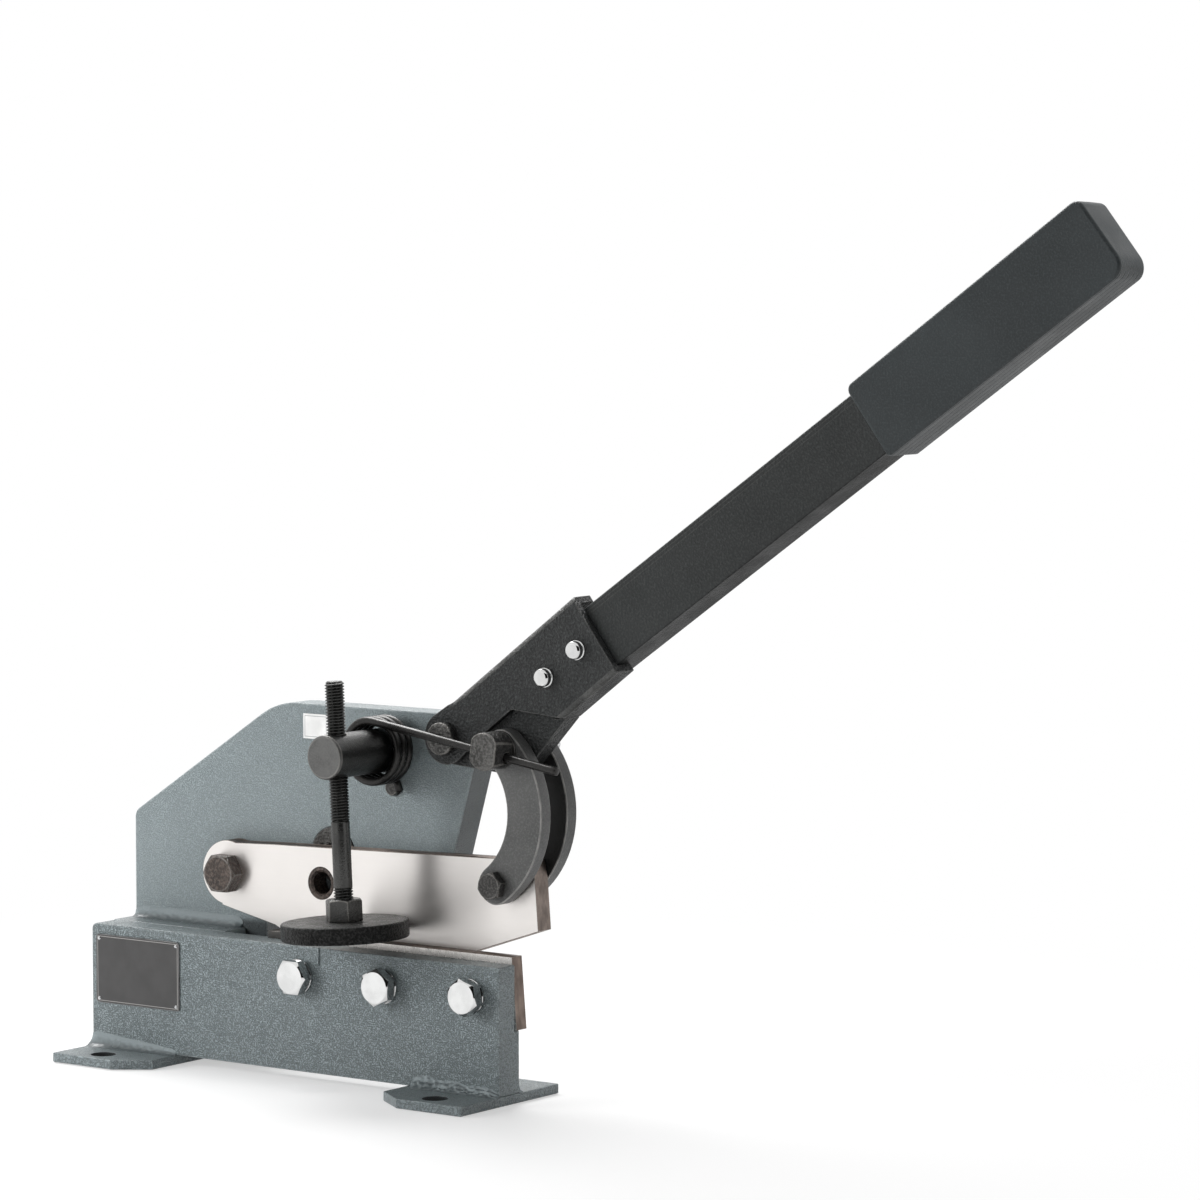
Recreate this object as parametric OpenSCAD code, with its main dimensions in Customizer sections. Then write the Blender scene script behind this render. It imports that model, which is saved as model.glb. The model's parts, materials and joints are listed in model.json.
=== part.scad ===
/* [Base] */
// Length of the front plate, which is the length of the whole base
plate_l = 270; // [258:1:300]
// Height of the front plate, without the feet under it
front_plate_h = 65; // [60:1:75]
// Thickness of the front and the rear plate
plate_t = 17; // [15:0.5:20]
// Clear length between the block that joins the two plates and the lower blade
spacer_gap = 32; // [20:1:40]
// Thickness of the feet
foot_t = 5; // [4:0.5:8]
// Length of each foot along the base
foot_l = 58.5; // [50:0.5:64]
// How far the feet reach forward of the front plate
foot_reach = 31.3; // [28:0.1:38]
// Depth of the feet from front to rear
foot_w = 81.3; // [76:0.1:90]
// Width and depth of the corner cut off each foot
foot_cut = [18, 12.5];
// Diameter of the bolt hole in each foot
foot_hole_d = 13; // [9:0.5:14]
// Distance from each end of the base to its bolt hole
foot_hole_inset = 25; // [20:0.5:30]
// Distance from the front plate's face forward to the bolt holes
foot_hole_reach = 19.5; // [17:0.5:21]

/* [Rear plate] */
// Height of the rear plate above the top of the front plate
rear_plate_rise = 120.7; // [118:0.1:128]
// Width of the leg that the rear plate stands on
rear_leg_w = 91; // [80:1:100]

/* [Blades] */
// Length of the lower blade
lower_blade_l = 160; // [150:1:170]
// Height of the lower blade
lower_blade_h = 36.6; // [34:0.1:40]
// Thickness of the lower blade
lower_blade_t = 8.3; // [7:0.1:9]
// How far the lower blade stands above the front plate
lower_blade_rise = 3.6; // [2:0.1:4]
// Depth of the seat for the lower blade in the back of the front plate
blade_seat_d = 3.6; // [2:0.1:5]
// Thickness of the upper blade and of the lever's main plate
upper_blade_t = 11; // [10:0.1:13]
// Running gap between the two blades
shear_gap = 0.3; // [0.2:0.05:0.5]
// Radius of the upper blade's end round its pivot
blade_end_r = 16.9; // [16:0.1:18]
// Distance from the pivot end of the base to the blade pivot
blade_pivot_inset = 75.5; // [70:0.5:80]
// Height of the blade pivot above the front plate
blade_pivot_rise = 30.3; // [29:0.1:32]
// Diameter of the round bar that the shear cuts
bar_d = 11.6; // [8:0.1:12]
// Outer diameter of the cutting bush in the upper blade
blade_bush_d = 16.8; // [16:0.1:18]
// Outer diameter of the cutting bush in the rear plate
plate_bush_d = 28; // [24:0.5:29]
// Distance from the blade pivot to the cutting bushes
bush_reach = 63.1; // [58:0.1:68]

/* [Lever] */
// Height of the lever pivot above the front plate
lever_pivot_rise = 110.2; // [109:0.1:112]
// Distance from the lever pivot to the far end of the base
lever_pivot_inset = 47; // [45:0.5:48]
// Distance from the lever pivot to the anchor bolt
crank_r = 39.1; // [38:0.1:41]
// Thickness of each link
link_t = 8.2; // [6:0.1:9]
// Radius of the rounded ends of the links
link_end_r = 10; // [9.8:0.1:11]
// How far the links bow out past the line through their bolts
link_bow = 27; // [25:0.1:29]
// How far the hollow side of the links bows out past that line
link_hollow = 5.6; // [4:0.1:7]
// Length of the folded bracket from the lever pivot
bracket_l = 108; // [100:1:118]
// Height of the folded bracket
bracket_h = 45; // [44.5:0.1:48]
// Thickness of the folded bracket
bracket_t = 4.2; // [3:0.1:4.2]
// Height of the lever bar
bar_h = 33.5; // [30:0.1:33.5]
// Width of the lever bar
bar_w = 21.5; // [19:0.1:24]
// Wall of the lever bar
bar_wall = 2.5; // [2:0.1:3.5]
// Length of the lever bar between the bracket and the grip
bar_show_l = 191.8; // [150:1:300]
// Length of the grip
grip_l = 153.4; // [110:1:180]
// Wall of the grip at its front, top and bottom
grip_wall = 3.5; // [2.5:0.1:4.5]

/* [Return spring] */
// Diameter of the spring wire
wire_d = 4.2; // [3.4:0.1:4.2]
// Mean diameter of the spring
spring_d = 31.5; // [30:0.5:33]
// Distance between neighbouring turns of the spring
spring_pitch = 4.65; // [4.65:0.01:4.8]
// Whole turns of the spring
spring_turns = 3; // [2:1:3]

/* [Hold-down] */
// Diameter of the round bar that carries the hold-down
boss_d = 22.6; // [20:0.1:25]
// How far that bar reaches forward of the front plate
boss_reach = 24; // [21:0.5:30]
// Distance from the front plate's face forward to the screw
screw_reach = 13; // [13:0.5:15]
// Outer diameter of the screw's thread
screw_d = 10; // [9:0.1:12]
// Diameter of the foot disc
disc_d = 65; // [50:0.5:65]
// Thickness of the foot disc
disc_t = 9; // [7:0.1:11]

/* [Hidden] */
$fn = 96;

// Colours
paint = "#7f8a8d";
black = "#2b2c2d";
steel = "#c9ccce";
zinc = "#b9bcc0";
bronze = "#6b5647";

// Clearances and small shared sizes
over = 1;
fit_gap = 0.05;
slide_gap = 0.2;
hex_cut_share = 0.95;
bend_steps = 8;
arc_steps = 24;

// Places from front to rear
plate_top = foot_t + front_plate_h;
lower_blade_y = plate_t - blade_seat_d;
upper_blade_y = lower_blade_y + lower_blade_t + shear_gap;
pivot_washer_t = 1;
rear_plate_y = upper_blade_y + upper_blade_t + pivot_washer_t;
rear_plate_back = rear_plate_y + plate_t;
rear_plate_top = plate_top + rear_plate_rise;

// Front plate
plate_corner_r = 3;
slit = [0.8, 1, 9];
slit_inset = 115.3;
bolt_d = 10;
bolt_hole_gap = 0.25;
bolt_af = 17;
bolt_head_t = 6.4;
bolt_inset = 17.6;
bolt_lead = 32;
bolt_pitch = (lower_blade_l - bolt_inset - bolt_lead) / 2;
bolt_drop = 15.6;
bolt_x = [for (i = [2:-1:0]) plate_l - bolt_inset - i * bolt_pitch];
bolt_z = plate_top - bolt_drop;
bolt_turn = [0, 25, 42];
bolt_washer_d = 18;
bolt_washer_t = 2;

// Lower blade, whose far end leans outward at the bottom
lower_blade_x = plate_l - lower_blade_l;
lower_blade_z = plate_top + lower_blade_rise - lower_blade_h;
blade_tail = 1;
blade_lean = 3;
spacer_l = lower_blade_x - spacer_gap;

// Feet
foot_hole = [foot_hole_inset, -foot_hole_reach];
weld_r = 5.5;
weld_bead_l = 53;
right_weld_inset = 1;
top_weld_inset = 3;

// Rear plate outline
rear_side_inset = 0.8;
rear_shoulder_drop = 64.3;
rear_slope_share = 0.3674;
rear_slope_l = rear_slope_share * plate_l;
rear_end_inset = 34;
rear_end_lean = 28;
rear_end_drop = 90.7;
rear_arch_rise = 10;
rear_arch_climb = 12;
rear_corner_r = [0, 0, 8, 12, 2, 45, 6];

// Blade pivot and the cutting bushes
pivot_d = 12;
pivot_af = 19;
pivot_head_t = 8;
blade_pivot = [blade_pivot_inset, plate_top + blade_pivot_rise];
bush_drop = 0.7;
bush_open_turn = 12.7;
bush_proud = 0.7;
blade_bush_place = blade_pivot + [bush_reach, -bush_drop];
plate_bush_place = blade_pivot + turned([bush_reach, -bush_drop], bush_open_turn);

// Lever pivot, anchor bolt and link bolt
lever_pivot = [plate_l - lever_pivot_inset, plate_top + lever_pivot_rise];
crank_turn = -4.1;
anchor = lever_pivot + turned([crank_r, 0], crank_turn);
link_pin_inset = 12.1;
link_pin_rise = 8.7;
link_pin = [plate_l - link_pin_inset, blade_pivot[1] + link_pin_rise];
link_pin_d = 7.2;
link_gap = 1.3;
front_link_y = upper_blade_y - link_gap - link_t;
rear_link_y = upper_blade_y + upper_blade_t + link_gap;

// Outline of the upper blade behind its end round the pivot, as shares of
// the distance to the link bolt and of the end radius
blade_arm = link_pin[0] - blade_pivot[0];
blade_shares = [
    [-0.021, -1.018], [0.046, -1.166], [0.176, -1.467], [0.217, -1.675], [0.820, -1.882],
    [1.105, -0.846], [1.110, -0.828], [1.099, 0.69], [1.088, 1.265], [0.928, 1.213],
    [0.485, 1.089], [0.178, 1.012], [0.029, 0.947]
];
slot_offset = [-1.54, -0.24];
slot_l = 8.3;
slot_r = 4.42;
slot_turn = 19;

// Lever hub, lobe and bracket, along and across the lever
lever_turn = 36.9;
hub_r = 13.4;
lobe_r = 13.8;
bracket_top = 12.4;
bracket_bottom = bracket_top - bracket_h;
flange_start = 14;
flange_inner = bracket_top - bracket_t;
tongue_shares = [[1.58, -0.86], [3.22, -0.85]];
web_cut_l = 66.7;
plate_end = [67, 60, 59.5];
plate_end_rise = 4.1;
anchor_place = turned([crank_r, 0], crank_turn - lever_turn);

// Lever bar, which leans down a little in the bracket
bar_turn = 34.8;
bar_drop = 11.5;
bar_place = lever_pivot + turned([bracket_l - over, -bar_drop], lever_turn);
bar_start = 46;
bar_r = 1.2;
bar_end_gap = 6;
grip_corner_r = [1, 8, 8, 4];
grip_flare = 1.3;
grip_slant = 1.5;
grip_back_wall = 1.75;
grip_h = bar_h + 2 * grip_wall;
grip_w = bar_w + grip_wall + grip_back_wall;
lever_bolt_d = 6;
lever_bolt_head_d = 10;
lever_bolt_head_t = 5;
lever_bolt_af = 10;
lever_bolt_along = [70.7, 95];
lever_bolt_drop = 10.5;

// Anchor bolt
anchor_d = 10;
anchor_head_d = 19;
anchor_head_t = 13.7;
anchor_flats = 15.5;
anchor_washer_t = 1.3;
anchor_af = 17;
anchor_nut_t = 8;
anchor_face_y = front_link_y - anchor_washer_t;

// Pivot heads and the nuts behind
lever_head_d = 16.5;
lever_head_t = 5.4;
link_af = 13;
link_head_t = 5.3;
link_nut_t = 6.5;
link_head_turn = 15;
rear_washer_d = 24;
rear_washer_t = 2.5;
rear_nut_t = 10;
pivot_washer_d = 22;
nut_proud = 2;
bracket_y = upper_blade_y - bracket_t;

// Hold-down, which leans a little to the pivot end at its top
boss_inset = 44.8;
boss_drop = 9.1;
boss = lever_pivot - [boss_inset, boss_drop];
boss_edge = 1;
spigot_d = 12;
screw_lean = 2.9;
screw_top = 37.8;
screw_upper_l = 71.1;
screw_plain_l = 33.4;
screw_lower_l = 5.4;
screw_nut_t = 11.3;
screw_tip_d = 8;
screw_tip_l = 6;
screw_nut_turn = 20;
thread_inset = 0.2;
screw_plain_d = screw_d - 2 * thread_inset;
screw_af = 17;
screw_seat = screw_top - screw_upper_l - screw_plain_l - screw_lower_l - screw_nut_t;
disc_edge = 1;

// Stop pin behind the spring
stop_d = 8.4;
stop_proud = 2.7;
stop_offset = [-0.8, -20.3];

// Spring: its front leg runs through the anchor bolt
spring_r = spring_d / 2;
hole_drop = 2.2;
hole_y = 7.4;
leg_hole_gap = 0.3;
leg_tail = 40.5;
tail_turn = 277;
tail_bend_r = 3.2;
tail_bend_turn = 90;
tail_bend_steps = 3;
tail_l = 6.2;
tail_lean = 24;
spring_rear_y = rear_plate_y - stop_proud - 2 * slide_gap - wire_d / 2;
leg_hole = anchor - [0, hole_drop];
leg_way = leg_hole - boss;
leg_turn = atan2(leg_way[1], leg_way[0]) + acos(spring_r / norm(leg_way));
coil_turn = tail_turn + 360 * spring_turns - leg_turn;
spring_front_y = spring_rear_y - spring_pitch * coil_turn / 360;
rings_per_curl = 8;
coil_steps = round(rings_per_curl * coil_turn / 360);
wire_sides = 6;
leg_start = on_coil(0);
leg_through = [leg_hole[0], hole_y, leg_hole[1]];
leg_dir = unit(leg_through - leg_start);
tail_out = [cos(tail_turn), 0, sin(tail_turn)];
tail_ahead = [-sin(tail_turn), 0, cos(tail_turn)];
tail_start = on_coil(1);
tail_dir = cos(tail_lean) * tail_out + [0, sin(tail_lean), 0];
spring_points = concat(
    [leg_through + leg_dir * leg_tail, leg_through, leg_start + leg_dir * wire_d],
    [for (i = [0:coil_steps]) on_coil(i / coil_steps)],
    [for (i = [1:tail_bend_steps]) tail_bend(i * tail_bend_turn / tail_bend_steps)],
    [tail_bend(tail_bend_turn) + tail_dir * tail_l]
);

// Plates and label without words
rating_size = [57.7, 36.4];
rating_inset = 3.6;
rating_drop = 41.7;
rating_t = 0.8;
rating_corner_r = 2;
rivet_d = 2.2;
rivet_t = 0.5;
rivet_inset = 2.2;
label_size = [16.5, 13];
label_t = 0.3;
label_share = 0.224;
label_x = rear_side_inset + rear_slope_l + label_share * (boss[0] - rear_side_inset - rear_slope_l);
label_drop = 18.2;

function unit(v) = v / norm(v);
function turned(p, a) = [p[0] * cos(a) - p[1] * sin(a), p[0] * sin(a) + p[1] * cos(a)];
function polar(r, a) = [r * cos(a), r * sin(a)];
function arc(middle, r, from, to, first = 0) =
    [for (i = [first:arc_steps - first]) middle + polar(r, from + (to - from) * i / arc_steps)];

// Points of a round corner at b between its neighbours a and c
function corner(a, b, c, r) =
    let (
        u = unit(a - b),
        w = unit(c - b),
        half = acos(u * w) / 2,
        middle = b + unit(u + w) * r / sin(half),
        first = b + u * r / tan(half) - middle,
        from = atan2(first[1], first[0]),
        side = sign(cross(b - a, c - b)),
        sweep = side * (180 - 2 * half)
    )
    [for (i = [0:bend_steps]) middle + polar(r, from + sweep * i / bend_steps)];
function rounded(p, r) = [
    for (i = [0:len(p) - 1])
        let (n = len(p), a = p[(i + n - 1) % n], c = p[(i + 1) % n])
        each (r[i] > 0 ? corner(a, p[i], c, r[i]) : [p[i]])
];
function round_box(w, h, r) =
    rounded([[-w, -h] / 2, [w, -h] / 2, [w, h] / 2, [-w, h] / 2], [r, r, r, r]);

// Centre line of the spring: the coil from its front to its rear, then the tail
function on_coil(share) =
    let (a = leg_turn + share * coil_turn)
    [boss[0] + spring_r * cos(a), spring_front_y + spring_pitch * share * coil_turn / 360,
     boss[1] + spring_r * sin(a)];
function tail_bend(a) =
    tail_start + tail_bend_r * (1 - cos(a)) * tail_out + tail_bend_r * sin(a) * tail_ahead;
function wire_ring(i) =
    let (
        n = len(spring_points),
        along = unit(spring_points[min(i + 1, n - 1)] - spring_points[max(i - 1, 0)]),
        side = unit(cross(along, [0, 1, 0])),
        up = cross(side, along)
    )
    [for (k = [0:wire_sides - 1])
        spring_points[i] + wire_d / 2 * (cos(k * 360 / wire_sides) * side
        + sin(k * 360 / wire_sides) * up)];
spring_gap = min([
    for (i = [0:len(spring_points) - 1])
        for (j = [i + rings_per_curl / 2:1:len(spring_points) - 1])
            norm(spring_points[i] - spring_points[j]) - wire_d
]);
echo(spring_least_gap_mm = spring_gap);

// Moves from the corner of the front plate to the middle of the foot holes
module placed() {
    translate([-plate_l / 2, foot_hole_reach, 0]) children();
}

// An outline in the plane of the plates, from y to the rear by t
module slab(y, t) {
    translate([0, y + t, 0]) rotate([90, 0, 0]) linear_extrude(t) children();
}

// A round piece through the plates at a place in their plane
module rod(place, y, t, d) {
    translate([place[0], y + t, place[1]]) rotate([90, 0, 0]) cylinder(d = d, h = t);
}

// A hexagon with its outer corners cut by a cone, standing on z = 0
module hexagon(af, t, turn = 0) {
    face_r = hex_cut_share * af / 2;
    intersection() {
        rotate([0, 0, turn]) cylinder(d = af / cos(30), h = t, $fn = 6);
        rotate_extrude()
            polygon([[0, 0], [af, 0], [af, t - (af - face_r) * tan(30)], [face_r, t], [0, t]]);
    }
}

// Stands what it holds on a face at y, toward the front or the rear
module to_front(place, y) {
    translate([place[0], y, place[1]]) rotate([90, 0, 0]) children();
}
module to_rear(place, y) {
    translate([place[0], y, place[1]]) rotate([-90, 0, 0]) children();
}

// A frame along the lever, and one along the bar that the bracket holds
module on_lever() {
    translate([lever_pivot[0], 0, lever_pivot[1]]) rotate([0, -lever_turn, 0]) children();
}
module on_bar() {
    translate([bar_place[0], 0, bar_place[1]]) rotate([0, -bar_turn, 0]) children();
}

// A frame along the hold-down's screw, from the axis of its boss
module on_screw() {
    translate([boss[0], -screw_reach, boss[1]]) rotate([0, -screw_lean, 0]) children();
}

// A frame along the spring's front leg
module on_leg() {
    translate(leg_through) rotate([0, acos(leg_dir[2]), atan2(leg_dir[1], leg_dir[0])]) children();
}

// A hollow weld along x, in the corner between a face toward -y and the ground
module hollow_weld(l) {
    rotate([90, 0, 90]) linear_extrude(l) difference() {
        translate([-weld_r, 0]) square(weld_r);
        translate([-weld_r, weld_r]) circle(r = weld_r - fit_gap);
    }
}

module front_plate() {
    placed() color(paint) difference() {
        slab(0, plate_t) polygon(rounded(
            [[0, foot_t], [plate_l, foot_t], [plate_l, plate_top], [0, plate_top]],
            [0, 0, 0, plate_corner_r]
        ));
        translate([lower_blade_x - slide_gap, lower_blade_y, lower_blade_z - slide_gap])
            cube([lower_blade_l + over, blade_seat_d + over, lower_blade_h]);
        translate([plate_l - slit_inset, -over, plate_top - slit[2]])
            cube([slit[0], slit[1] + over, slit[2] + over]);
        for (x = bolt_x)
            rod([x, bolt_z], -over, plate_t + 2 * over, bolt_d + 2 * bolt_hole_gap);
    }
}

module rear_plate() {
    shoulder = rear_plate_top - rear_shoulder_drop;
    arch = plate_top + rear_arch_rise;
    end_x = plate_l - rear_end_inset;
    holes = [[blade_pivot, pivot_d], [lever_pivot, pivot_d], [boss, spigot_d],
        [plate_bush_place, plate_bush_d], [boss + stop_offset, stop_d]];
    placed() color(paint) difference() {
        slab(rear_plate_y, plate_t) polygon(rounded([
            [rear_side_inset, foot_t], [rear_side_inset + rear_leg_w, foot_t],
            [rear_side_inset + rear_leg_w, arch],
            [end_x - rear_end_lean, arch + rear_arch_climb],
            [end_x, rear_plate_top], [rear_side_inset + rear_slope_l, rear_plate_top],
            [rear_side_inset, shoulder]
        ], rear_corner_r));
        for (h = holes)
            rod(h[0], rear_plate_y - over, plate_t + 2 * over, h[1] + 2 * fit_gap);
    }
}

module shelf_spacer() {
    placed() color(paint) translate([0, plate_t, foot_t])
        cube([spacer_l, rear_plate_y - plate_t, front_plate_h]);
}

// A foot with its hole, and with the corner toward the other foot cut off
module foot() {
    difference() {
        linear_extrude(foot_t) polygon([
            [0, -foot_reach], [foot_l - foot_cut[0], -foot_reach],
            [foot_l, foot_cut[1] - foot_reach], [foot_l, foot_w - foot_reach],
            [0, foot_w - foot_reach]
        ]);
        translate([foot_hole[0], foot_hole[1], -over])
            cylinder(d = foot_hole_d, h = foot_t + 2 * over);
    }
}

module left_foot() {
    placed() color(paint) foot();
}

module right_foot() {
    placed() color(paint) translate([plate_l, 0, 0]) mirror([1, 0, 0]) foot();
}

// Welds at the feet and along the top of the spacer
module weld_beads() {
    placed() color(paint) {
        translate([0, 0, foot_t]) hollow_weld(foot_l);
        translate([plate_l - right_weld_inset - weld_bead_l, 0, foot_t])
            hollow_weld(weld_bead_l);
        translate([plate_l, plate_t, foot_t]) rotate([0, 0, 180]) hollow_weld(foot_l);
        translate([rear_side_inset, rear_plate_y, plate_top])
            hollow_weld(spacer_l - top_weld_inset);
    }
}

module lower_blade() {
    z = lower_blade_z;
    placed() color(steel) difference() {
        slab(lower_blade_y, lower_blade_t) polygon([
            [lower_blade_x, z], [plate_l + blade_tail, z],
            [plate_l + blade_tail - blade_lean, z + lower_blade_h],
            [lower_blade_x, z + lower_blade_h]
        ]);
        for (x = bolt_x)
            rod([x, bolt_z], lower_blade_y - over, lower_blade_t + 2 * over, bolt_d + 2 * fit_gap);
    }
}

module blade_bolts() {
    shank = bolt_washer_t + lower_blade_y + lower_blade_t - 2 * slide_gap;
    placed() color(zinc) for (i = [0:len(bolt_x) - 1]) {
        to_front([bolt_x[i], bolt_z], -bolt_washer_t) hexagon(bolt_af, bolt_head_t, bolt_turn[i]);
        rod([bolt_x[i], bolt_z], -bolt_washer_t, shank, bolt_d);
    }
}

module blade_bolt_washers() {
    placed() color(zinc) for (x = bolt_x) difference() {
        rod([x, bolt_z], -bolt_washer_t, bolt_washer_t, bolt_washer_d);
        rod([x, bolt_z], -bolt_washer_t - over, bolt_washer_t + 2 * over, bolt_d + 2 * bolt_hole_gap);
    }
}

// Plain dark plate in the place of the lettered one
module rating_plate() {
    placed() color(black) translate([rating_inset, -rating_t, plate_top - rating_drop])
        translate([rating_size[0] / 2, rating_t, rating_size[1] / 2]) rotate([90, 0, 0])
        linear_extrude(rating_t) difference() {
            polygon(round_box(rating_size[0], rating_size[1], rating_corner_r));
            for (x = [-1, 1])
                for (z = [-1, 1])
                    translate([x * (rating_size[0] / 2 - rivet_inset),
                        z * (rating_size[1] / 2 - rivet_inset)]) circle(d = rivet_d / 2);
        }
}

module plate_rivets() {
    placed() color(steel)
        for (x = [rivet_inset, rating_size[0] - rivet_inset])
            for (z = [rivet_inset, rating_size[1] - rivet_inset])
                translate([rating_inset + x, -rating_t, plate_top - rating_drop + z])
                    rotate([90, 0, 0]) cylinder(d1 = rivet_d, d2 = rivet_d / 2, h = rivet_t);
}

module blank_label() {
    placed() color("white")
        translate([label_x, rear_plate_y - label_t, rear_plate_top - label_drop])
        cube([label_size[0], label_t, label_size[1]]);
}

module plate_bush() {
    placed() color(steel) difference() {
        rod(plate_bush_place, rear_plate_y - bush_proud, plate_t + bush_proud, plate_bush_d);
        rod(plate_bush_place, rear_plate_y - over, plate_t + 2 * over, bar_d);
    }
}

module clamp_boss() {
    placed() color(black) difference() {
        union() {
            to_front(boss, rear_plate_y) rotate_extrude() polygon([
                [0, 0], [boss_d / 2, 0],
                [boss_d / 2, rear_plate_y + boss_reach - boss_edge],
                [boss_d / 2 - boss_edge, rear_plate_y + boss_reach],
                [0, rear_plate_y + boss_reach]
            ]);
            rod(boss, rear_plate_y, plate_t + rear_washer_t + rear_nut_t + nut_proud, spigot_d);
        }
        on_screw() cylinder(d = screw_d + 2 * fit_gap, h = 2 * boss_d, center = true);
    }
}

module stop_pin() {
    placed() color(black)
        rod(boss + stop_offset, rear_plate_y - stop_proud, stop_proud + plate_t, stop_d);
}

module torsion_spring() {
    n = len(spring_points);
    placed() color(black) polyhedron(
        points = [for (i = [0:n - 1]) each wire_ring(i)],
        faces = concat(
            [for (i = [0:n - 2])
                for (k = [0:wire_sides - 1])
                    let (a = i * wire_sides + k, b = i * wire_sides + (k + 1) % wire_sides)
                    each [[a, a + wire_sides, b], [b, a + wire_sides, b + wire_sides]]],
            [for (k = [1:wire_sides - 2]) [0, k, k + 1]],
            [for (k = [1:wire_sides - 2])
                [(n - 1) * wire_sides, (n - 1) * wire_sides + k + 1, (n - 1) * wire_sides + k]]
        )
    );
}

module lever_pivot_bolt() {
    placed() color(black) {
        rod(lever_pivot, bracket_y - lever_head_t, lever_head_t, lever_head_d);
        rod(lever_pivot, bracket_y, rear_plate_back + rear_washer_t + rear_nut_t + nut_proud
            - bracket_y, pivot_d);
    }
}

module blade_pivot_bolt() {
    placed() color(black) {
        to_front(blade_pivot, upper_blade_y) hexagon(pivot_af, pivot_head_t);
        rod(blade_pivot, upper_blade_y, rear_plate_back + rear_washer_t + rear_nut_t + nut_proud
            - upper_blade_y, pivot_d);
    }
}

// Nuts and washers behind the rear plate, on both pivots and on the boss
module rear_nuts() {
    placed() color(zinc) for (p = [blade_pivot, lever_pivot, boss]) difference() {
        to_rear(p, rear_plate_back + rear_washer_t) hexagon(pivot_af, rear_nut_t);
        rod(p, rear_plate_back, rear_nut_t + 2 * rear_washer_t, pivot_d + 2 * fit_gap);
    }
}

module rear_washers() {
    placed() color(zinc) for (p = [blade_pivot, lever_pivot, boss]) difference() {
        rod(p, rear_plate_back, rear_washer_t, rear_washer_d);
        rod(p, rear_plate_back - over, rear_washer_t + 2 * over, pivot_d + 2 * bolt_hole_gap);
    }
}

// Thin washers that keep the blade and the lever off the rear plate
module pivot_washers() {
    placed() color(bronze) for (p = [blade_pivot, lever_pivot]) difference() {
        rod(p, rear_plate_y - pivot_washer_t, pivot_washer_t, pivot_washer_d);
        rod(p, rear_plate_y - pivot_washer_t - over, pivot_washer_t + 2 * over,
            pivot_d + 2 * bolt_hole_gap);
    }
}

// Channel folded from plate, its web cut away round the anchor bolt
module lever_bracket() {
    placed() color(black) on_lever() difference() {
        union() {
            slab(bracket_y, bracket_t) {
                circle(r = hub_r);
                polygon(concat(
                    [[0, hub_r], [0, -hub_r]],
                    [for (p = tongue_shares) p * hub_r],
                    [[web_cut_l, bracket_bottom], [bracket_l, bracket_bottom],
                     [bracket_l, bracket_top], [flange_start, bracket_top]]
                ));
            }
            translate([flange_start, bracket_y, flange_inner])
                cube([bracket_l - flange_start, bracket_t + upper_blade_t, bracket_t]);
            translate([web_cut_l, bracket_y, bracket_bottom])
                cube([bracket_l - web_cut_l, bracket_t + upper_blade_t, bracket_t]);
        }
        rod([0, 0], bracket_y - over, bracket_t + 2 * over, pivot_d + 2 * fit_gap);
        for (x = lever_bolt_along)
            rod([x, -lever_bolt_drop], bracket_y - over, bracket_t + 2 * over,
                lever_bolt_d + 2 * fit_gap);
    }
}

// Main plate of the lever: a hub on the pivot and a lobe on the anchor bolt
module lever_plate() {
    across = atan2(anchor_place[1], anchor_place[0]) - 90;
    low_end = [plate_end[0], bracket_bottom];
    way = low_end - anchor_place;
    under = atan2(way[1], way[0]) - acos(lobe_r / norm(way));
    top = flange_inner - slide_gap;
    placed() color(black) on_lever() difference() {
        slab(upper_blade_y, upper_blade_t) {
            circle(r = hub_r);
            translate(anchor_place) circle(r = lobe_r);
            polygon([
                polar(hub_r, across), anchor_place + polar(lobe_r, across),
                anchor_place + polar(lobe_r, under), low_end,
                [plate_end[1], bracket_bottom + plate_end_rise], [plate_end[2], top],
                [sqrt(hub_r * hub_r - top * top), top]
            ]);
        }
        rod([0, 0], upper_blade_y - over, upper_blade_t + 2 * over, pivot_d + 2 * fit_gap);
        rod(anchor_place, upper_blade_y - over, upper_blade_t + 2 * over, anchor_d + 2 * fit_gap);
    }
}

// Round head with two flats, drilled for the spring's leg
module anchor_bolt() {
    y = anchor_face_y - anchor_head_t;
    end_y = rear_link_y + link_t + anchor_nut_t + nut_proud;
    placed() color(black) difference() {
        union() {
            intersection() {
                rod(anchor, y, anchor_head_t, anchor_head_d);
                on_leg() cube([2 * anchor_head_d, 2 * anchor_head_d, anchor_flats], center = true);
            }
            rod(anchor, anchor_face_y, end_y - anchor_face_y, anchor_d);
        }
        on_leg() cylinder(d = wire_d + 2 * leg_hole_gap, h = 2 * anchor_head_d, center = true);
    }
}

module anchor_washer() {
    placed() color(black) difference() {
        rod(anchor, anchor_face_y, anchor_washer_t - fit_gap, anchor_head_d);
        rod(anchor, anchor_face_y - over, anchor_washer_t + 2 * over, anchor_d + 2 * fit_gap);
    }
}

module anchor_nut() {
    y = rear_link_y + link_t + fit_gap;
    placed() color(zinc) difference() {
        to_rear(anchor, y) hexagon(anchor_af, anchor_nut_t);
        rod(anchor, y - over, anchor_nut_t + 2 * over, anchor_d + 2 * fit_gap);
    }
}

module lever_bolts() {
    placed() color(steel) on_lever() for (x = lever_bolt_along) {
        rod([x, -lever_bolt_drop], bracket_y - lever_bolt_head_t, lever_bolt_head_t,
            lever_bolt_head_d);
        rod([x, -lever_bolt_drop], bracket_y, bracket_t + bar_w + fit_gap + lever_bolt_head_t
            + nut_proud, lever_bolt_d);
    }
}

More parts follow.
